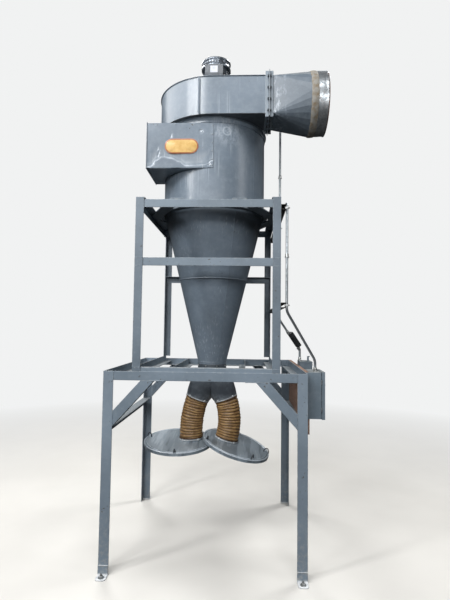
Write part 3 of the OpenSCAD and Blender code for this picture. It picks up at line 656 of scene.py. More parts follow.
# Hoses: coated fabric over a wire helix, clamped to the branch above and to the lid's collar below
hoses = {
    "radius": 0.102,
    "length": 0.350,
    "topSlope": 20,  # degrees from upright
    "ends": {"left": -3, "right": -16},
    "gap": 0.252,  # between the two upper ends
    "topZ": 1.188,
    "turns": 15,
    "groove": 0.0085,
    "sag": 0.0035,
    "wander": 0.17,  # share of a turn by which the ribs stray
    "wall": 0.003,
    "band": [(0.0965, -0.006), (0.1035, -0.006), (0.1043, -0.003), (0.1043, 0.003), (0.1035, 0.006),
             (0.0965, 0.006)],
    "bandsAt": ((0.012, 1), (0.985, -1)),  # part of the length, and side on which the screws stand
    "screwsAt": (-2.25, -0.85, 0.8, 2.3),  # radians round the hose
    "foot": [(0.1005, -0.012), (0.1062, -0.012), (0.1058, -0.004), (0.1005, -0.004)],
}


def hosePath(side, part):  # centre and slope at part 0 (top) to 1 (lid)
    top, end = math.radians(hoses["topSlope"]), math.radians(hoses["ends"][side])
    bend = hoses["length"] / (top - end)
    slope = top + (end - top) * part
    x = -hoses["gap"] / 2 + bend * (math.cos(top) - math.cos(slope))
    z = hoses["topZ"] - bend * (math.sin(top) - math.sin(slope))
    flip = 1 if side == "left" else -1
    return Vector((axis.x + flip * x, axis.y, z)), flip * slope


def hoseFrame(side, part):  # local Z runs up the hose
    place, slope = hosePath(side, part)
    return Matrix.Translation(place) @ Matrix.Rotation(slope, 4, "Y")


def ribbedHose(side, seed):
    rows, columns = hoses["turns"] * 10 + 1, 64
    crowns = []

    def place(row, column):
        part = row / (rows - 1)
        turn = 2 * math.pi * column / columns
        phase = part * hoses["turns"] + column / columns * (1 if side == "left" else -1)
        stray = noise.noise(around(turn, 0.9, part * 7 + seed * 3))
        wave = abs(math.sin(math.pi * (phase + hoses["wander"] * 2 * stray)))
        wave = wave ** 0.50 * (0.86 + 0.28 * noise.noise(around(turn, 2, phase * 1.3)))
        wave = min(1.0, wave) * min(1.0, part * 26, (1 - part) * 26 + 0.15)
        crowns.append(min(1.0, wave))
        sag = hoses["sag"] * noise.noise(around(turn, 3, part * 9 + seed))
        radius = hoses["radius"] - hoses["groove"] * (1 - wave) + sag
        return hoseFrame(side, part) @ around(turn, radius)

    verts, faces = grid(rows, columns, place, wrap=True)
    title = side.capitalize()
    piece = addMesh("ribbedHose" + title, verts, faces, hoseSkin, "hose_fabric", True, ("hose_" + side,), 80)
    piece.data.attributes.new("crown", "FLOAT", "POINT").data.foreach_set("value", crowns)
    thicken(piece, hoses["wall"])
    parts, screws = [], []
    for part, up in hoses["bandsAt"]:
        matrix = hoseFrame(side, part)
        parts.append(lathe(hoses["band"], 56, matrix, closed=True))
        for angle in hoses["screwsAt"]:
            start = matrix @ around(angle, 0.1035, 0.012 * up)
            screws.append(hexBolt(start, matrix.to_3x3() @ around(angle), "hose", True, angle))
    foot = lathe(hoses["foot"], 64, hoseFrame(side, 1.0), closed=True)
    addMesh("hoseFoot" + title, *foot, scuffedRim, "body_paint")
    addParts("hoseBands" + title, parts, hoseBand, "hose_fabric")
    addParts("hoseScrews" + title, screws, zincScrew, "galvanised", False)


for number, side in enumerate(("left", "right")):
    ribbedHose(side, 5 + number)
print("hoses made")


# Branch: two round legs that blend into the cone's collar, with a rounded crotch between them
branch = {
    "collarZ": 1.468,
    "collarRadius": 0.122,
    "endRadius": 0.102,
    "belly": 0.010,  # how much the legs swell half way
    "web": 0.050,  # depth of the rounded crotch
    "crotchZ": 1.158,
    "crotchRise": 0.045,
    "rows": 40,
    "columns": 72,
    "rim": [(0.099, -0.001), (0.1052, -0.001), (0.1058, 0.003), (0.1052, 0.007), (0.099, 0.009)],
    "band": [(0.1215, -0.012), (0.1255, -0.012), (0.1262, 0), (0.1255, 0.026), (0.1215, 0.026)],
    "screws": 8,
}


def branchPoint(row, column):
    part = row / branch["rows"]
    ease = part * part * (3 - 2 * part) * 0.35 + part * 0.65
    slope = math.radians(hoses["topSlope"]) * min(1.0, part * 1.4) ** 0.8
    height = branch["collarZ"] + (hoses["topZ"] - branch["collarZ"]) * part
    centre = Vector((-hoses["gap"] / 2 * ease, 0, height))
    radius = branch["collarRadius"] + (branch["endRadius"] - branch["collarRadius"]) * part
    radius += branch["belly"] * math.sin(math.pi * part)
    turn = 2 * math.pi * column / branch["columns"]
    point = centre + Matrix.Rotation(slope, 3, "Y") @ around(turn, radius)
    if point.x > -branch["web"]:
        rise = min(1.0, max(0.0, (point.z - branch["crotchZ"]) / branch["crotchRise"]))
        pull = max(0.0, 1 - max(0.0, -point.x) / branch["web"]) ** 0.8 * rise
        point.x = min(0.0, point.x * (1 - min(1.0, pull * 1.5)))
    return point


def buildBranch():
    verts, faces = grid(branch["rows"] + 1, branch["columns"], branchPoint, wrap=True)
    faces = [f for f in faces if any(verts[i].x < -1e-5 for i in f)]
    mirror = [Vector((-v.x, v.y, v.z)) for v in verts]
    both, shapes = joined([(verts, faces), (mirror, [tuple(reversed(f)) for f in faces])])
    both = [v + axis for v in both]
    piece = addMesh("branchShell", both, shapes, branchPaint, "body_paint", True, ("branch_pipe",), 50)
    cleaned(piece, 0.0004)
    thicken(piece, sheet)
    rims = [lathe(branch["rim"], 72, hoseFrame(side, 0.0), closed=True) for side in ("left", "right")]
    addParts("branchRims", rims, scuffedRim, "body_paint")
    foot = axis + Vector((0, 0, branch["collarZ"]))
    band = lathe(branch["band"], 72, Matrix.Translation(foot), closed=True)
    addMesh("collarBand", *band, branchPaint, "body_paint")
    bolts = []
    for step in range(branch["screws"]):
        angle = 2 * math.pi * (step + 0.5) / branch["screws"]
        bolts.append(hexBolt(foot + around(angle, 0.1255, 0.012), around(angle), "collar"))
    addParts("collarScrews", bolts, plated, "galvanised", False)


buildBranch()
print("branch made")


# Drum lids: beads of the rolled rim, latches with their bolts, and wire bails on small plates
lids = {
    "radius": 0.298,
    "drop": 0.012,
    "beads": ((0.004, 0.001, 0.0038), (0.0115, 0.0015, 0.0028), (0.0255, 0.0035, 0.0026),
              (0.002, -0.020, 0.0022)),  # way in from the edge, height and radius of each bead
    "sheetTop": 0.0035,
    "latchTop": 0.0075,
    "latch": (0.034, 0.014),  # length and half the width of the plate on the lid
    "hook": (0.021, 0.012),  # drop and half the width of the plate over the edge
    "bolt": (0.018, 0.036, 0.0055),  # way in from the edge, top and radius
    "bailIn": 0.026,
    "bailFoot": 0.004,
    "bailRise": 0.036,
    "bailWire": 0.0045,
    "pad": ((-0.010, -0.024), (0.014, 0.024), 0.0062),  # two corners and the top of the bail's plate
    "left": {"pitch": 7, "roll": 0, "place": (-0.107, -0.061)},
    "right": {"pitch": 6, "roll": 16.5, "place": (0.092, -0.047)},
}


def lidFrame(side):
    look = lids[side]
    place = hosePath(side, 1.0)[0]
    tilt = turnBy(look["roll"], "Y") @ turnBy(look["pitch"], "X")
    return Matrix.Translation(place) @ tilt @ Matrix.Translation((*look["place"], -lids["drop"]))


def buildLid(side, latches, loops):
    matrix = lidFrame(side)
    edge = lids["radius"]
    title = side.capitalize()
    beads = []
    for inward, height, thick in lids["beads"]:
        ring = [matrix @ around(2 * math.pi * k / 120, edge - inward, height) for k in range(121)]
        beads.append(tube(ring, thick, 8, ends=False))
    addParts("lidBeads" + title, beads, rimHighlightPaint, "body_paint")
    plates, bolts = [], []
    (long, wide), (drop, narrow), (inset, rise, stud) = lids["latch"], lids["hook"], lids["bolt"]
    for angle in latches:
        spin = matrix @ turnBy(angle)
        top = lids["latchTop"]
        plates.append(boxMesh((edge - long, -wide, lids["sheetTop"]), (edge - 0.001, wide, top), spin))
        plates.append(boxMesh((edge - 0.004, -narrow, -drop), (edge - 0.0005, narrow, top), spin))
        foot = spin @ Vector((edge - inset, 0, top))
        bolts.append(hexBolt(foot, spin.to_3x3() @ Vector(upward), "latch"))
        bolts.append(tube([foot, spin @ Vector((edge - inset, 0, rise))], stud, 12))
    foot, rise = lids["bailFoot"], lids["bailRise"]
    first, last, top = lids["pad"]
    for angle, face, half in loops:  # place on the rim, turn of the bail, half its width
        spin = matrix @ turnBy(angle) @ Matrix.Translation((edge - lids["bailIn"], 0, 0))
        bail = spin @ turnBy(face)
        turns = [math.pi * k / 14 for k in range(15)]
        route = [bail @ Vector((0, half * math.cos(turn), foot + rise * math.sin(turn))) for turn in turns]
        bolts.append(tube(route, lids["bailWire"], 10))
        plates.append(boxMesh((*first, lids["sheetTop"]), (*last, top), spin))
    bevelled(addParts("lidLatches" + title, plates, litLidPaint, "body_paint", False), 0.001)
    addParts("lidBolts" + title, bolts, blackenedSteel, "galvanised")


buildLid("left", (-88, 32), ((166, 80, 0.020),))
buildLid("right", (206,), ((-57, 35, 0.022), (4, 70, 0.022)))
print("lids made")


# Outlet: square-to-round piece folded from flat sheet, sealed to a galvanised collar
outlet = {
    "squareX": 0.474,
    "flangeEnd": 0.506,
    "roundX": 0.810,
    "endX": 0.946,
    "low": (-0.550, 3.545),  # corner of the square end in y and z
    "size": (0.322, 0.316),
    "centre": (-0.389, 3.688),
    "radius": 0.254,
    "folds": 7,
    "steps": 144,  # points round the sealant, the collar and its lip
    "sealWidth": 0.052,
    "sealLap": 0.006,  # how far the sealant runs back over the folded sheet
    "sealWander": 0.0035,  # how far its torn edges stray
    "sealRough": 0.0022,
    "sealSwell": (0.0, 0.0045, 0.006, 0.0065, 0.0062, 0.005, 0.004, 0.0),  # from edge to edge of the band
    "flangeReach": 0.032,
    "flangeGap": 0.0045,
    "collarWall": 0.0016,
    "collarSag": 0.0022,
    "collarGroove": 0.0012,
    "lip": ((0.0045, 0.006), (0.0005, 0.006), (0.0005, 0), (0.0045, 0)),  # way in from the skin and the end
    "seamTurn": 114,
    "barDepths": (0.0031, 0.0075),  # near and far face of a flange bar, out from the duct
    "boltsPerSide": 4,
    "boltInset": 0.016,
    "boltsOut": (0.020, 0.018),  # how far the bolts stand beside and above the duct
    "boltFoot": 0.0032,
}


def onOutlet(turn, reach, x):  # point round the outlet's own axis
    y, z = outlet["centre"]
    return Vector((x, y + reach * math.cos(turn), z + reach * math.sin(turn)))


def buildOutlet():
    (y0, z0), (wide, tall) = outlet["low"], outlet["size"]
    radius, folds = outlet["radius"], outlet["folds"]
    corners = [(y0, z0), (y0 + wide, z0), (y0 + wide, z0 + tall), (y0, z0 + tall)]
    verts = [Vector((x, *corner)) for x in (outlet["squareX"], outlet["flangeEnd"]) for corner in corners]
    faces = skinFaces(2, 4)
    for corner in range(4):
        first = len(verts)
        for step in range(folds + 1):
            angle = math.radians(180 + 90 * corner + 90 * step / folds)
            verts.append(onOutlet(angle, radius, outlet["roundX"]))
        for step in range(folds):
            faces.append((4 + corner, first + step + 1, first + step))
        following = 8 + ((corner + 1) % 4) * (folds + 1)
        faces.append((4 + corner, 4 + (corner + 1) % 4, following, first + folds))
    piece = addMesh("squareToRound", verts, faces, outletPaint, "body_paint", False, ("transition",))
    cleaned(piece, 0.0002)
    thicken(piece, sheet)
    bevelled(piece, 0.0016, 1)
    x0, x1 = outlet["roundX"], outlet["endX"]
    steps, lap = outlet["steps"], outlet["sealLap"]

    def seal(row, column):
        turn = 2 * math.pi * column / steps
        spot = around(turn, 9, row * 0.35)
        swell = outlet["sealSwell"][row]
        wander = outlet["sealWander"] * noise.noise(spot + Vector((4, 0, 0))) if row in (0, 1, 6, 7) else 0.0
        swell += outlet["sealRough"] * noise.noise(spot)
        reach = radius + swell * (1 if 0 < row < 7 else 0.0)
        x = x0 - lap + (outlet["sealWidth"] + lap) * row / 7 + wander
        return onOutlet(turn, reach, x)

    addMesh("sealantBand", *grid(8, steps, seal, wrap=True), sealant, "galvanised")

    def skin(row, column):
        turn = 2 * math.pi * column / steps
        part = row / 12
        x = x0 + 0.004 + (x1 - x0 - 0.004) * part
        sag = outlet["collarSag"] * noise.noise(around(turn, 2.2, part * 1.5))
        reach = radius - outlet["collarWall"] + sag
        reach -= outlet["collarGroove"] if 8 < row < 11 else 0.0
        return onOutlet(turn, reach, x)

    collar = addMesh("galvanisedCollar", *grid(13, steps, skin, wrap=True), zincSheet, "galvanised", True,
                     ("outlet_collar",))
    thicken(collar, outlet["collarWall"])
    lip = [(radius - inward, x1 - back) for inward, back in outlet["lip"]]
    matrix = pointing((0, *outlet["centre"]), rightward)
    addMesh("collarLip", *lathe(lip, steps, matrix, closed=True), rustySteel, "galvanised")
    turn = math.radians(outlet["seamTurn"])
    seam = [onOutlet(turn, radius + 0.001, x) for x in (x0 + 0.04, x0 + 0.09, x1)]
    addMesh("collarSeam", *tube(seam, 0.004, 8), zincSheet, "galvanised")
    joint, reach, gap = outlet["squareX"], outlet["flangeReach"], outlet["flangeGap"]
    bars, bolts = [], []
    for low, high in ((-reach, -gap), (gap, reach)):
        for face, outward in ((y0, -1), (y0 + wide, 1)):
            near, far = sorted(face + outward * depth for depth in outlet["barDepths"])
            bars.append(boxMesh((joint + low, near, z0 - reach), (joint + high, far, z0 + tall + reach)))
    bevelled(addParts("flangeBars", bars, litFlangePaint, "body_paint", False), 0.0012)
    inset, (beside, above) = outlet["boltInset"], outlet["boltsOut"]
    for step in range(outlet["boltsPerSide"]):
        part = step / (outlet["boltsPerSide"] - 1)
        z = z0 + inset + (tall - 2 * inset) * part
        y = y0 + inset + (wide - 2 * inset) * part
        for side in (-1, 1):
            foot = joint + side * outlet["boltFoot"]
            for place in ((y0 - beside, z), (y0 + wide + beside, z),
                          (y, z0 - above), (y, z0 + tall + above)):
                bolts.append(hexBolt((foot, *place), (side, 0, 0), "flange"))
    addParts("flangeBolts", bolts, blackenedSteel, "frame_paint", False)


buildOutlet()
print("outlet made")


# Inlet duct: thin sheet box that meets the barrel, dented along the lower part of its front
inlet = {
    "mouthX": -0.536,
    "lapX": 0.018,
    "frontY": -0.4533,
    "backY": -0.0300,
    "low": 3.119,
    "high": 3.495,
    "lip": 0.008,
    "barrelRadius": 0.4505,
    "rivets": ((-0.082, 3.424), (0.006, 3.47), (0.006, 3.40), (0.006, 3.33), (0.006, 3.26), (0.006, 3.19),
               (0.006, 3.14), (-0.45, 3.482), (-0.30, 3.482), (-0.15, 3.482)),  # the first is the bright one
    "rivet": [(0.0062, 0), (0.0055, 0.0018), (0.003, 0.003), (0, 0.0034)],
}
creases = {  # all places are along and up from the mouth's foot
    "ledge": ((0.0, 0.004), (0.034, 0.012), (0.078, 0.062), (0.130, 0.094), (0.204, 0.082), (0.270, 0.054),
              (0.330, 0.018), (0.410, 0.020), (0.476, 0.028), (0.554, 0.060)),
    "depth": 0.013,  # the sheet above the ledge is pushed in
    "reach": 0.075,  # height over which it comes back
    "curl": ((0.508, 0.034), 0.019),  # centre and radius of the curled fold at the right end
    "nicks": ((0.094, 0.158), (0.106, 0.132), (0.098, 0.108), (0.062, 0.040), (0.205, 0.268)),
    "ding": (0.452, 0.306),
    "bow": 0.004,
}


def ledgeHeight(along):  # height of the crease, smoothed between the listed points
    points = creases["ledge"]
    for (first, low), (last, high) in zip(points, points[1:]):
        if along <= last:
            part = max(0.0, (along - first) / (last - first))
            return low + (high - low) * part * part * (3 - 2 * part)
    return points[-1][1]


def bump(distance, width):
    return math.exp(-(distance / width) ** 2)


def creasePlace(x, z):  # place from the mouth's foot, over the ledge, and from the curl and the ding
    up, along = z - inlet["low"], x - inlet["mouthX"]
    (curlX, curlUp), curlRadius = creases["curl"]
    dingX, dingUp = creases["ding"]
    fromCurl = math.hypot(along - curlX, (up - curlUp) * 1.35) - curlRadius
    fade = min(1.0, max(0.0, (along - curlX + 0.012) / 0.02))  # the curl fades out to its left
    return up, along, up - ledgeHeight(along), fromCurl, fade, math.hypot(along - dingX, up - dingUp)


def dentDepth(x, z):  # how far the front is pushed in, by place from the cyclone's axis
    up, along, above, fromCurl, fade, fromDing = creasePlace(x, z)
    wander = 0.5 + 0.5 * math.sin(along * 23 + 0.4) * math.sin(along * 9)
    strength = min(1.0, along / 0.05) * (0.55 + 0.45 * wander)
    step = min(1.0, max(0.0, above / 0.016 + 0.5))
    push = strength * step * step * (3 - 2 * step) * bump(max(0.0, above), creases["reach"])
    push += 0.55 * bump(fromCurl, 0.0055) * fade
    for nickX, nickUp in creases["nicks"]:
        push += 0.35 * bump(along - nickX, 0.006) * bump(up - nickUp, 0.013)
    push += 0.55 * bump(fromDing - 0.010, 0.0045) * (0.6 if up < creases["ding"][1] else 1.0)
    bow = math.sin(math.pi * min(1, max(0, along / 0.5))) * math.sin(math.pi * min(1, up / 0.376))
    return creases["depth"] * push + creases["bow"] * bow


def rubAndHighlightMark(x, z):  # where the folded paint is rubbed bright, with a painted highlight along the folds
    up, along, above, fromCurl, fade, fromDing = creasePlace(x, z)
    wander = 0.55 + 0.45 * math.sin(along * 31 + 0.9) * math.sin(along * 13)
    mark = 0.6 * wander * bump(above - 0.001, 0.008) + 0.3 * wander * bump(above - 0.026, 0.015)
    mark += 0.8 * bump(fromCurl, 0.005) * fade
    for nickX, nickUp in creases["nicks"]:
        mark += 1.0 * bump(along - nickX - 0.25 * (up - nickUp), 0.0045) * bump(up - nickUp, 0.014)
    mark += 0.9 * bump(fromDing - 0.011, 0.005) * (1.0 if up > creases["ding"][1] else 0.3)
    return min(1.0, mark)


def buildInlet():
    x0, x1, y0, y1 = inlet["mouthX"], inlet["lapX"], inlet["frontY"], inlet["backY"]
    z0, z1 = inlet["low"], inlet["high"]
    across, tall = 168, 112

    def front(row, column):
        x, z = x0 + (x1 - x0) * column / across, z0 + (z1 - z0) * row / tall
        edge = min(1.0, row / 3, (tall - row) / 3, column / 3, (across - column) / 3)
        free = min(1.0, max(0.0, (0.04 - x) / 0.05)) if x < -0.02 else 0.35
        return axis + Vector((x, y0 + edge * free * max(0.0, dentDepth(x, z)), z))

    def level(z):
        def place(row, column):
            y = y0 + (y1 - y0) * row / 24
            reach = -math.sqrt(max(0.0, inlet["barrelRadius"] ** 2 - y * y))
            return axis + Vector((x0 + (min(reach, -0.001) - x0) * column / 16, y, z))
        return place

    def back(row, column):
        reach = -math.sqrt(inlet["barrelRadius"] ** 2 - y1 * y1)
        return axis + Vector((x0 + (reach - x0) * column, y1, z0 + (z1 - z0) * row))

    parts = [grid(tall + 1, across + 1, front), grid(25, 17, level(z0)), grid(25, 17, level(z1)),
             grid(2, 2, back)]
    piece = addParts("inletSheet", parts, bodyPaint, "body_paint", True, ("inlet_duct",), 30)
    cleaned(piece, 0.0004)
    face = inlet["frontY"] + axis.y
    # the rub attribute holds the rubbed paint and the painted highlight along the folds
    rubs = [rubAndHighlightMark(v.co.x - axis.x, v.co.z) if v.co.y < face + 0.05 else 0.0 for v in piece.data.vertices]
    piece.data.attributes.new("rub", "FLOAT", "POINT").data.foreach_set("value", rubs)
    thicken(piece, sheet)
    lip = inlet["lip"]
    rim = []
    for low, high in (((y0 - lip, z0 - lip), (y1 + lip, z0 + 0.001)),
                      ((y0 - lip, z1 - 0.001), (y1 + lip, z1 + lip)),
                      ((y0 - lip, z0), (y0 + 0.001, z1)),
                      ((y1 - 0.001, z0), (y1 + lip, z1))):
        rim.append(boxMesh(axis + Vector((x0, *low)), axis + Vector((x0 + sheet, *high))))
    addParts("inletMouth", rim, bodyPaint, "body_paint", False)
    rivets = []
    for x, z in inlet["rivets"]:
        depth = 0.0 if rivets else 0.003  # the bright one sits in its dent
        rivets.append(lathe(inlet["rivet"], 12, pointing(axis + Vector((x, y0 + depth, z)), frontward)))
    addMesh("inletDing", *rivets[0], brightRivet, "body_paint")
    addParts("inletRivets", rivets[1:], dullBolt, "body_paint")


def stadium(length, tall, steps=20):
    half = (length - tall) / 2
    return [(math.copysign(half, math.cos(a)) + tall / 2 * math.cos(a), tall / 2 * math.sin(a))
            for a in [2 * math.pi * (k + 0.5) / (4 * steps) for k in range(4 * steps)]]


badge = {
    "centre": (-0.246, 3.300),
    "plates": (("badgeEdge", 0.278, 0.125, -0.001, 0.0012, orangeEnamel),
               ("badgePlate", 0.256, 0.103, 0.0, 0.0020, yellowEnamel)),  # length, height, back and face
    "bend": 0.0035,
    "halfSpan": 0.139,
    "stand": 0.0015,
}


def buildBadge():  # bare enamel plate, no lettering
    centreX, centreZ = badge["centre"]
    front = inlet["frontY"] - badge["stand"]
    for name, length, tall, low, high, material in badge["plates"]:
        outline = stadium(length, tall)
        count = len(outline)
        verts = []
        for scale, out in ((1.0, low), (1.0, high * 0.6), (0.985, high)):
            for x, z in outline:
                bend = badge["bend"] * math.cos(x * scale / badge["halfSpan"] * math.pi / 2)
                verts.append(axis + Vector((centreX + x * scale, front - out + bend, centreZ + z * scale)))
        faces = skinFaces(3, count)
        faces += [(2 * count + k, 2 * count + (k + 1) % count, len(verts)) for k in range(count)]
        verts.append(axis + Vector((centreX, front - high + badge["bend"], centreZ)))
        addMesh(name, verts, faces, material, "body_paint")


buildInlet()
buildBadge()
print("inlet made")


# Casing, barrel and cone: lap seams, rolled seams, one weld, and the bolts of the two rings
seams = {
    "casingX": (-0.104, 0.247),
    "casingZ": (3.549, 3.857),
    "casingFront": -0.5100,
    "barrelTurns": (-38, 140),  # degrees round the barrel
    "barrelZ": (2.85, 3.495),
    "barrelRadius": 0.450,
    "rolled": ((2.232, 0.3022, 0.0035), (1.512, 0.1252, 0.003), (2.846, 0.4505, 0.0028)),  # z, radius, size
    "coneFoot": (1.5, 0.122),  # height and radius
    "coneTop": (2.84, 0.450),
    "casingStrip": (0.014, 0.0012),  # width and thickness of a lap seam
    "barrelStrip": (0.016, 0.0012),
    "weldTurn": -62,
    "weldZ": (1.53, 2.0, 2.4, 2.82),
    "weldRadius": 0.0026,
    "ringBolts": 16,
    "ringBoltsAt": (0.4685, 2.807),  # radius and height
    "casingBoltsAt": (0.4610, 3.540),
    "collarBolts": 8,
    "collarBoltsAt": (0.4563, 2.830),
    "collarTurn": 0.3,
}


def seamStrip(points, width, thick):  # flat strip along a path on a wall
    verts = []
    for place, out, side in points:
        for across, lift in ((-0.5, 0), (-0.5, 1), (0.5, 1), (0.5, 0)):
            verts.append(Vector(place) + Vector(side) * width * across + Vector(out) * thick * lift)
    faces = skinFaces(len(points), 4)
    faces += [(3, 2, 1, 0), tuple(len(verts) - 4 + k for k in range(4))]
    return verts, faces


def onCone(turn, z):  # point just outside the cone's skin
    (low, narrow), (high, wide) = seams["coneFoot"], seams["coneTop"]
    return axis + around(turn, narrow + (z - low) * (wide - narrow) / (high - low) + 0.0004, z)


def buildSeams():
    parts = []
    for x in seams["casingX"]:
        places = [axis + Vector((x, seams["casingFront"], z)) for z in seams["casingZ"]]
        parts.append(seamStrip([(place, frontward, rightward) for place in places], *seams["casingStrip"]))
    for angle in map(math.radians, seams["barrelTurns"]):
        strip = [(axis + around(angle, seams["barrelRadius"], z), around(angle), around(angle + math.pi / 2))
                 for z in seams["barrelZ"]]
        parts.append(seamStrip(strip, *seams["barrelStrip"]))
    addParts("lapSeams", parts, bodyPaint, "body_paint", False)
    rings = []
    for z, radius, thick in seams["rolled"]:
        rings.append(lathe([(radius - 0.003, z - 2 * thick), (radius + thick * 0.6, z - thick),
                            (radius + thick * 0.6, z + thick), (radius - 0.002, z + 2 * thick)], 144,
                           Matrix.Translation(axis)))
    addParts("rolledSeams", rings, bodyPaint, "body_paint", True, (), 60)
    weld = [onCone(math.radians(seams["weldTurn"]), z) for z in seams["weldZ"]]
    addMesh("coneWeld", *tube(weld, seams["weldRadius"], 8), bodyPaint, "body_paint")
    bolts = []
    for step in range(seams["ringBolts"]):
        angle = 2 * math.pi * (step + 0.5) / seams["ringBolts"]
        ring, casing = [axis + around(angle, *seams[key]) for key in ("ringBoltsAt", "casingBoltsAt")]
        bolts.append(hexBolt(ring, upward, "ring", True, angle))
        bolts.append(hexBolt(casing, downward, "casing", False, angle))
    for step in range(seams["collarBolts"]):
        angle = 2 * math.pi * step / seams["collarBolts"] + seams["collarTurn"]
        place = axis + around(angle, *seams["collarBoltsAt"])
        bolts.append(hexBolt(place, around(angle), "small", True, angle))
    addParts("ringBolts", bolts, dullBolt, "frame_paint", False)


buildSeams()
print("seams made")


# Motor: fan cover with two rims, air slots painted as dark shade, bolts and screws, terminal box lid and its
# blank label
motor = {
    "foot": 3.861,
    "height": 0.326,
    "coverHeight": 0.084,
    "coverRadius": 0.135,
    "cover": ((0.016, 0.0005), (0.002, 0.0005), (0, 0.003), (0, 0.012), (0.006, 0.017), (0.0065, 0.052),
              (0.001, 0.058), (0, 0.063), (0, 0.069), (0.005, 0.075), (0.022, 0.081), (0.050, 0.084),
              (0.058, 0.080)),  # way in from the cover's radius, and height
    "slots": 30,
    "slot": ((0.0085, 0.0058), 0.004, (0.022, 0.048)),  # way in from the radius, half width, heights
    "vents": 18,
    "vent": ((0.030, 0.070), 0.003, (0.0055, 0.0044)),  # radii, half width, depths under the top
    "studs": 6,
    "footStuds": (0.123, 0.016),  # radius, and height over the foot
    "coverStuds": (0.1348, 0.0075),  # radius, and height over the cover's foot
    "box": ((-0.084, -0.168, 0.184), (0.070, -0.116, 0.302)),
    "lidProud": 0.003,
    "lidFront": 0.004,
    "screwIn": 0.008,
    "label": ((-0.042, 0.226), (0.024, 0.288)),
    "labelFront": 0.0048,
    "connectorAt": (-0.118, 0.210),
    "connector": [(0.020, -0.010), (0.024, 0.0), (0.024, 0.012), (0.016, 0.016), (0.013, 0.024)],
}


def buildMotor():
    top = motor["foot"] + motor["height"]
    radius, tall = motor["coverRadius"], motor["coverHeight"]
    matrix = Matrix.Translation(axis + Vector((0, 0, top)))
    profile = [(radius - inward, height) for inward, height in motor["cover"]]
    profile = [(0.0, 0.001), *profile, (0.050, tall - 0.005), (0.0, tall - 0.005)]
    addMesh("fanCover", *lathe(profile, 96, matrix), coverPaint, "cover_metal", True, ("motor_cover",), 50)
    slots, studs = [], []
    (deep, shallow), half, (low, high) = motor["slot"]
    for step in range(motor["slots"]):
        spin = matrix @ turnBy(360 * step / motor["slots"])
        slots.append(boxMesh((radius - deep, -half, low), (radius - shallow, half, high), spin))
    (inner, outer), half, (deep, shallow) = motor["vent"]
    for step in range(motor["vents"]):
        spin = matrix @ turnBy(360 * step / motor["vents"])
        slots.append(boxMesh((inner, -half, tall - deep), (outer, half, tall - shallow), spin))
    # painted shade: the slots and vents are dark plates on the cover's skin, not openings
    addParts("coverSlotsPaintedShade", slots, darkPlastic, "cover_metal", False)
    (footReach, footUp), (coverReach, coverUp) = motor["footStuds"], motor["coverStuds"]
    for step in range(motor["studs"]):
        angle = 2 * math.pi * (step + 0.25) / motor["studs"]
        studs.append(hexBolt(axis + around(angle, footReach, motor["foot"] + footUp), upward, "motorFoot"))
        studs.append(hexBolt(axis + around(angle, coverReach, top + coverUp), around(angle), "cover"))
    low, high = motor["box"]
    base = axis + Vector((0, 0, motor["foot"]))
    proud, front, inset = motor["lidProud"], low[1] - motor["lidFront"], motor["screwIn"]
    lid = boxMesh(base + Vector((low[0] - proud, front, low[2] - proud)),
                  base + Vector((high[0] + proud, low[1] + proud, high[2] + proud)))
    bevelled(addMesh("terminalLid", *lid, motorPaint, "motor_paint", False), 0.003, 3)
    for x in (low[0] + inset, high[0] - inset):
        for z in (low[2] + inset, high[2] - inset):
            studs.append(hexBolt(base + Vector((x, front, z)), frontward, "terminal", False))
    addParts("motorScrews", studs, dullBolt, "motor_paint", False)
    (left, foot), (right, head) = motor["label"]
    y = low[1] - motor["labelFront"]
    label = boxMesh(base + Vector((left, y, foot)), base + Vector((right, y + 0.001, head)))
    addMesh("blankLabel", *label, blankLabel, "motor_paint", False)
    side = base + Vector((high[0] + 0.001, *motor["connectorAt"]))
    collar = lathe(motor["connector"], 24, pointing(side, rightward))
    addMesh("boxConnector", *collar, plated, "galvanised")


buildMotor()
print("motor made")


# Conduits: bent steel tube, with couplings, straps on the channels and a sealed fitting
conduit = {
    "radius": 0.010,
    "bend": 0.085,
    "runX": 0.6075,
    "backY": 0.029,
    "frontY": -0.691,
    "strutTops": (2.008, 2.751),
    "teeZ": 2.781,
    "frontKneeZ": 1.945,  # where the runs leave the channels
    "backKneeZ": 1.896,
    "motorKneeZ": 3.951,
    "starterRise": 0.085,
    "switchRise": 0.094,
    "fitting": (0.160, 0.325),  # its two ends along the slanting run
    "lap": 0.01,  # how far a tube runs into its fitting
    "shortBend": 0.03,
    "couplingsZ": (3.2, 2.35),  # on the back and the front run
    "starterIn": (0.844, -0.531, 1.485),
    "switchIn": (0.804, 0.119, 1.522),
    "motorOut": (0.076, -0.158, 4.071),
    "nut": [(0.0095, 0), (0.0165, 0), (0.0165, 0.008), (0.0135, 0.010), (0.0135, 0.026), (0.0115, 0.030),
            (0.0098, 0.030)],
    "strap": (0.0125, 0.0025),  # half the width of the loop, and the thickness of its steel
}


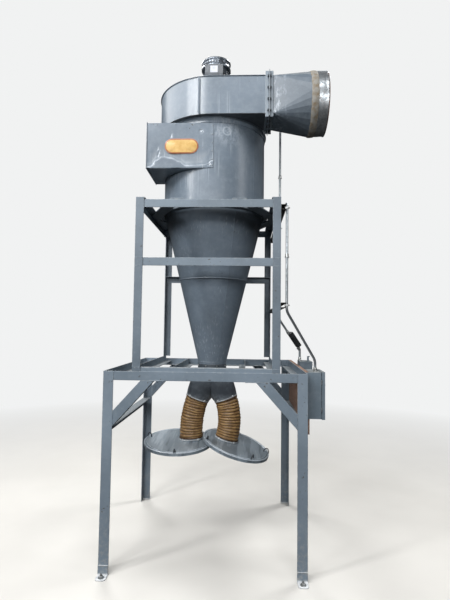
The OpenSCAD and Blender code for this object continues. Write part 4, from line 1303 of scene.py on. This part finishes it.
def buildConduits():
    look = conduit
    x, back, front = look["runX"], look["backY"], look["frontY"]
    starter, switch, motorOut = Vector(look["starterIn"]), Vector(look["switchIn"]), Vector(look["motorOut"])
    lap = look["lap"]
    upper = [(x, back - lap, look["teeZ"]), (x, front, look["teeZ"]), (x, front, look["frontKneeZ"]),
             starter + Vector((0, 0, look["starterRise"])), starter]
    bendTop, bendFoot = Vector((x, back, look["backKneeZ"])), switch + Vector((0, 0, look["switchRise"]))
    way = (bendFoot - bendTop).normalized()
    fittingTop, fittingFoot = [bendTop + way * along for along in look["fitting"]]
    lower = [motorOut, (x, motorOut.y, motorOut.z), (x, back, look["motorKneeZ"]), bendTop,
             fittingTop + way * lap]
    offset = [fittingFoot - way * lap, bendFoot, switch]
    parts = [tube(rounded(route, bend), look["radius"], 16)
             for route, bend in ((upper, look["bend"]), (lower, look["bend"]), (offset, look["shortBend"]))]
    addParts("conduitTubes", parts, zincTube, "galvanised", True, ("conduits",), 60)
    backZ, frontZ = look["couplingsZ"]
    ends = [(place, upward) for place in (starter, switch, (x, back, backZ), (x, front, frontZ))]
    ends[2:2] = [(fittingTop, -way), (fittingFoot, way)]
    ends.append((motorOut, rightward))
    nuts = [lathe(look["nut"], 18, pointing(place, direction)) for place, direction in ends]
    addParts("conduitCouplings", nuts, plated, "galvanised")
    straps = []
    half, steel = look["strap"]
    for top in look["strutTops"]:
        low, high = top - 0.026, top - 0.010
        for y in (front, back):
            plate = (x - 0.0145, y - 0.012, top - 0.030), (x - 0.0100, y + 0.012, top - 0.006)
            straps.append(boxMesh(*plate))
            straps.append(boxMesh((x - 0.0115, y - half, low), (x + half, y - half + steel, high)))
            straps.append(boxMesh((x - 0.0115, y + half - steel, low), (x + half, y + half, high)))
            straps.append(boxMesh((x + 0.0102, y - half, low), (x + half, y + half, high)))
            straps.append(hexBolt((x + 0.012, y, top - 0.018), rightward, "strap"))
    addParts("conduitStraps", straps, plated, "galvanised", False)
    matrix = pointing(fittingTop, way)
    low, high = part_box("conduit_fitting")
    local = matrix.inverted() @ ((Vector(low) + Vector(high)) / 2)
    body = matrix @ Matrix.Translation((local.x, local.y, 0))
    shell = boxMesh((-0.028, -0.018, 0.004), (0.028, 0.018, 0.161), body)
    piece = addMesh("fittingBody", *shell, darkPlastic, "fitting_plastic", False, ("conduit_fitting",))
    bevelled(piece, 0.006, 3)
    cover = boxMesh((-0.022, -0.0205, 0.014), (0.022, -0.0175, 0.151), body)
    bevelled(addMesh("fittingCover", *cover, darkPlastic, "fitting_plastic", False), 0.0015)


buildConduits()
print("conduits made")


# Boxes on the board: hinge pins, door gasket, knock-outs, switch lever and the board's bolts
boxes = {
    "hinge": 0.0035,
    "hingeLong": 0.03,
    "hingeZ": (0.06, 0.09),  # up from the door's foot and down from its top
    "clampIn": 0.045,
    "knockOutIn": (0.05, 0.10),  # from the door's sides and from its top
    "knockOut": [(0.016, 0), (0.016, 0.006), (0.011, 0.008), (0, 0.008)],
    "lidDrop": 0.046,  # from the switch's top down to its lid
    "lever": ((0.035, 0.03), (0.035, 0.044), (0.020, 0.044)),  # back from the front, up from the lid
    "boardBoltsY": (-0.31, 0.02, 0.35),  # between the two at the board's ends
}


def buildBoxes():
    low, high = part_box("starter_door")
    metal = []
    x, y = low.x - 0.002, low.y - boxes["hinge"]
    for z in (low.z + boxes["hingeZ"][0], high.z - boxes["hingeZ"][1]):
        metal.append(tube([(x, y, z), (x, y, z + boxes["hingeLong"])], boxes["hinge"], 10))
    for z in (low.z + boxes["clampIn"], high.z - boxes["clampIn"]):
        metal.append(hexBolt((high.x, (low.y + high.y) / 2, z), rightward, "small"))
    inward, down = boxes["knockOutIn"]
    for y in (low.y + inward, high.y - inward):
        metal.append(lathe(boxes["knockOut"], 24, pointing((high.x, y, high.z - down), rightward)))
    trim = boxMesh((low.x - 0.003, low.y + 0.004, low.z + 0.004), (low.x, high.y - 0.004, high.z - 0.004))
    addMesh("doorGasket", *trim, darkPlastic, "box_paint", False)
    low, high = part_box("disconnect_switch")
    top = high.z - boxes["lidDrop"]
    for y in (low.y + 0.03, high.y - 0.03):
        metal.append(hexBolt((high.x, y, top - 0.03), rightward, "switch"))
    addParts("boxHardware", metal, plated, "galvanised", False)
    lever = [(high.x - back, low.y + 0.03, top + up) for back, up in boxes["lever"]]
    addMesh("switchLever", *tube(rounded(lever, 0.006), 0.0045, 12), darkPlastic, "box_paint")
    rim = boxMesh((low.x + 0.004, low.y - 0.002, top - 0.012), (high.x + 0.002, high.y + 0.002, top - 0.006))
    bevelled(addMesh("switchLidEdge", *rim, boxPaint, "box_paint", False), 0.001)
    low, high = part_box("mounting_board")
    screws = [hexBolt((high.x, y, high.z - 0.03), rightward, "small")
              for y in (low.y + 0.06, *boxes["boardBoltsY"], high.y - 0.06)]
    addParts("boardBolts", screws, dullBolt, "board_wood", False)


buildBoxes()
print("boxes made")


# Stand: anchor bolts, bolts through the rails, and weld beads where the angle is joined
stand = {
    "anchor": (0.724, 0.775),  # place of the anchor bolts, mirrored to all four feet
    "washer": [(0.011, 0.0), (0.022, 0.0), (0.022, 0.003), (0.011, 0.003)],
    "bead": 0.0034,
    "ripple": 0.006,  # length of one ripple of a weld
    "innerX": 0.6858,
    "frontY": 0.731,
    "beadY": 0.7305,
    "cleat": ((0.761, 0.688), 0.7375, 0.072),  # bead on the foot of a leg: from and to x, then y and z
    "kneeFootZ": (1.075, 1.185),
    "kneeTopX": (0.300, 0.415),
    "kneeTopZ": 1.4135,
    "railZ": (1.416, 1.480),
    "postBead": (0.030, 0.7295, 0.0028),  # half its length, place and size
    "railBolts": (-0.695, 1.421),  # y and z
    "postX": (-0.5165, 0.5285),
    "jointZ": (1.512, 2.280, 2.342),  # where the rails meet the front posts
    "railBoltsX": (-0.40, -0.13, 0.13, 0.40),
    "ringBolts": (0.505, 2.801, (-0.56, -0.20, 0.20, 0.44)),  # x from the axis, z, and each bolt's y
    "cornerBolts": (0.40, 2.791, (-0.52, 0.45)),
}


def weldBead(first, last, seed, width=stand["bead"]):
    first, last = Vector(first), Vector(last)
    count = max(4, int((last - first).length / stand["ripple"]))
    path = [first.lerp(last, k / count) for k in range(count + 1)]
    radii = []
    for k in range(count + 1):
        radii.append(width * (0.85 + 0.3 * (k % 2) + 0.25 * noise.noise(Vector((k * 0.7, seed, 0)))))
    return tube(path, radii, 8)


def buildStandDetail():
    bolts, beads, washers, scuffs = [], [], [], []
    anchorX, anchorY = stand["anchor"]
    for x in (-anchorX, anchorX):
        for y in (-anchorY, anchorY):
            washers.append(lathe(stand["washer"], 24, Matrix.Translation((x, y, 0.006)), closed=True))
            bolts.append(hexBolt((x, y, 0.009), upward, "anchor", False, x + y))
            bolts.append(tube([(x, y, 0.004), (x, y, 0.034)], 0.008, 16))
    addParts("anchorBolts", bolts, plated, "galvanised", False)
    addParts("anchorWashers", washers, plated, "galvanised")
    number = 0
    kneeTop, cleatX, cleatY, cleatZ = stand["kneeTopZ"], *stand["cleat"]
    for sx in (-1, 1):
        for sy in (-1, 1):
            number += 1
            inner, face = sx * stand["innerX"], sy * stand["frontY"] * 0.9995
            scuffs.append(weldBead(*[(sx * x, sy * cleatY, cleatZ) for x in cleatX], number))
            knee = [(inner, sy * stand["beadY"], z) for z in stand["kneeFootZ"]]
            beads.append(weldBead(*knee, number + 9))
            beads.append(weldBead(*[(inner, face, z) for z in stand["railZ"]], number + 20))
            beads.append(weldBead(*[(sx * x, face, kneeTop) for x in stand["kneeTopX"]], number + 30))
    half, front, size = stand["postBead"]
    for x in stand["postX"]:
        for z in stand["jointZ"]:
            beads.append(weldBead((x - half, -front, z), (x + half, -front, z), number + z * 7, size))
    addParts("weldBeads", beads, framePaint, "frame_paint", True, (), 80)
    addParts("footBeads", scuffs, scuffedRim, "frame_paint", True, (), 80)
    rail = [hexBolt((x, *stand["railBolts"]), upward, "frame") for x in stand["railBoltsX"]]
    for sx in (-1, 1):
        for reach, height, places in (stand["ringBolts"], stand["cornerBolts"]):
            for y in places:
                rail.append(hexBolt((axis.x + sx * reach, y, height), downward, "frame", True, y))
    addParts("frameBolts", rail, dullBolt, "frame_paint", False)


buildStandDetail()
print("stand detail made")


# CAD nodes that keep their shape get their finish here
finishes = {
    litLegPaint: "leg_front_left leg_front_right leg_rear_left leg_rear_right",
    shadedPostPaint: "posts_front posts_rear top_rails_side carrier_beam corner_plates support_ring",
    framePaint: "base_rail_front base_rail_rear base_rail_left base_rail_right front_sill floor_beams "
                "knee_braces side_stretchers top_rail_front mid_rails",
    bodyPaint: "cone barrel inlet_duct vortex_tube fan_casing casing_top transition",
    shadedUndersidePaint: "casing_bottom",
    litFlangePaint: "outlet_flanges",
    branchPaint: "branch_pipe",
    litLidPaint: "lid_left lid_right",
    boxPaint: "starter_box starter_door disconnect_switch",
    zincTube: "conduits outlet_collar",
    channelSteel: "strut_channels",
    fanSteel: "fan_wheel",
    plywood: "mounting_board",
    motorPaint: "motor",
    coverPaint: "motor_cover",
    hoseSkin: "hose_left hose_right",
    darkPlastic: "conduit_fitting",
}
for material, names in finishes.items():
    for name in names.split():
        cadNodes[name].data.materials.clear()
        cadNodes[name].data.materials.append(material)
print("CAD nodes finished")


# Studio: floor that fades into a white backdrop, soft lamps, and air that is dimmer than the backdrop
studio = {
    "floorHalf": 60,
    "floor": "#dddbd6",
    "floorCloud": "#d8d6d1",
    "floorShade": "#2d2b29",  # what the object gets from the floor, as from the hall's concrete
    "sky": "#f1f2f2",
    "fadeFrom": 2.4,  # metres from the origin where the floor starts to turn into the backdrop
    "fadeTo": 7.5,
    "airLight": 0.035,
    "airColour": "#eef2f7",
    "lamps": [  # name, place, what it is aimed at, width and height, power
        ("keyLamp", (-4.8, -4.2, 6.0), (0, 0, 2.4), (0.7, 3.6), 190),
        ("leftLamp", (-3.76, 0.08, 5.6), (-0.6, 1.3, 3.5), (4.1, 1.4), 78),
        ("frontLamp", (-0.4, -7.5, 3.9), (0, 0, 1.4), (9.0, 1.0), 285),
        ("sideLamp", (5.4, -2.6, 5.2), (0, 0, 1.4), (1.6, 2.6), 44),
        ("topLamp", (-0.6, -6.0, 9.6), (0, -0.2, 1.8), (6.0, 4.0), 395),
        ("seamLamp", (-2.2, -3.75, 5.75), (-0.1, -0.5, 3.7), (1.6, 1.0), 110),
        ("backLamp", (-3.0, 5.4, 9.4), (0, 0, 2.4), (2.6, 2.6), 400),
        ("rightLamp", (4.8, 3.4, 9.4), (0, 0, 2.2), (2.6, 2.6), 400),
    ],
}


def buildFloor(look):
    half = look["floorHalf"]
    mesh = bpy.data.meshes.new("studioFloor")
    corners = [(-half, -half, 0), (half, -half, 0), (half, half, 0), (-half, half, 0)]
    mesh.from_pydata(corners, [], [(0, 1, 2, 3)])
    floor = bpy.data.objects.new("studioFloor", mesh)
    bpy.context.scene.collection.objects.link(floor)
    material, tree, place = startMaterial("paleFloor", 0.0, 0.85, 1.45)
    seen = addNode(tree, "LightPath").outputs["Is Camera Ray"]
    cloud = noiseAt(tree, place, 900, detail=3)
    colour = coat(tree, hexColour(look["floor"]), look["floorCloud"], (cloud, 0.35, 0.65))
    colour = blendColour(tree, seen, hexColour(look["floorShade"]), colour)
    finished(material, {"Base Color": colour})
    far = addNode(tree, "VectorMath", {"operation": "LENGTH"}, {0: place}).outputs["Value"]
    fade = mask(tree, (far, look["fadeFrom"], look["fadeTo"]), (seen, 0, 1))
    glow = addNode(tree, "Emission", {"Color": hexColour(look["sky"]), "Strength": 1.0})
    paint = tree.nodes["Principled BSDF"].outputs[0]
    both = addNode(tree, "MixShader", links={0: fade, 1: paint, 2: glow.outputs[0]})
    tree.links.new(both.outputs[0], tree.nodes["Material Output"].inputs["Surface"])
    mesh.materials.append(material)


def buildStudio(look):
    buildFloor(look)
    world = bpy.data.worlds.new("studioAir")
    bpy.context.scene.world = world
    world.use_nodes = True
    tree = world.node_tree
    tree.nodes.clear()
    path = addNode(tree, "LightPath")
    seen = addNode(tree, "Math", {"operation": "MAXIMUM"},
                   {0: path.outputs["Is Camera Ray"], 1: path.outputs["Is Transmission Ray"]}).outputs[0]
    air = addNode(tree, "Background", {"Strength": look["airLight"], "Color": hexColour(look["airColour"])})
    backdrop = addNode(tree, "Background", {"Strength": 1.0, "Color": hexColour(look["sky"])})
    both = addNode(tree, "MixShader", links={0: seen, 1: air.outputs[0], 2: backdrop.outputs[0]})
    addNode(tree, "OutputWorld", links={0: both.outputs[0]})
    for name, place, target, size, power in look["lamps"]:
        data = bpy.data.lights.new(name, "AREA")
        data.shape = "RECTANGLE"
        data.size, data.size_y = size
        data.energy = power
        lamp = bpy.data.objects.new(name, data)
        bpy.context.scene.collection.objects.link(lamp)
        aim = (Vector(target) - Vector(place)).to_track_quat("-Z", "Y").to_matrix().to_4x4()
        lamp.matrix_world = Matrix.Translation(place) @ aim


buildStudio(studio)
bpy.context.scene.view_settings.view_transform = "Standard"
print("studio lit")

bpy.context.view_layer.update()
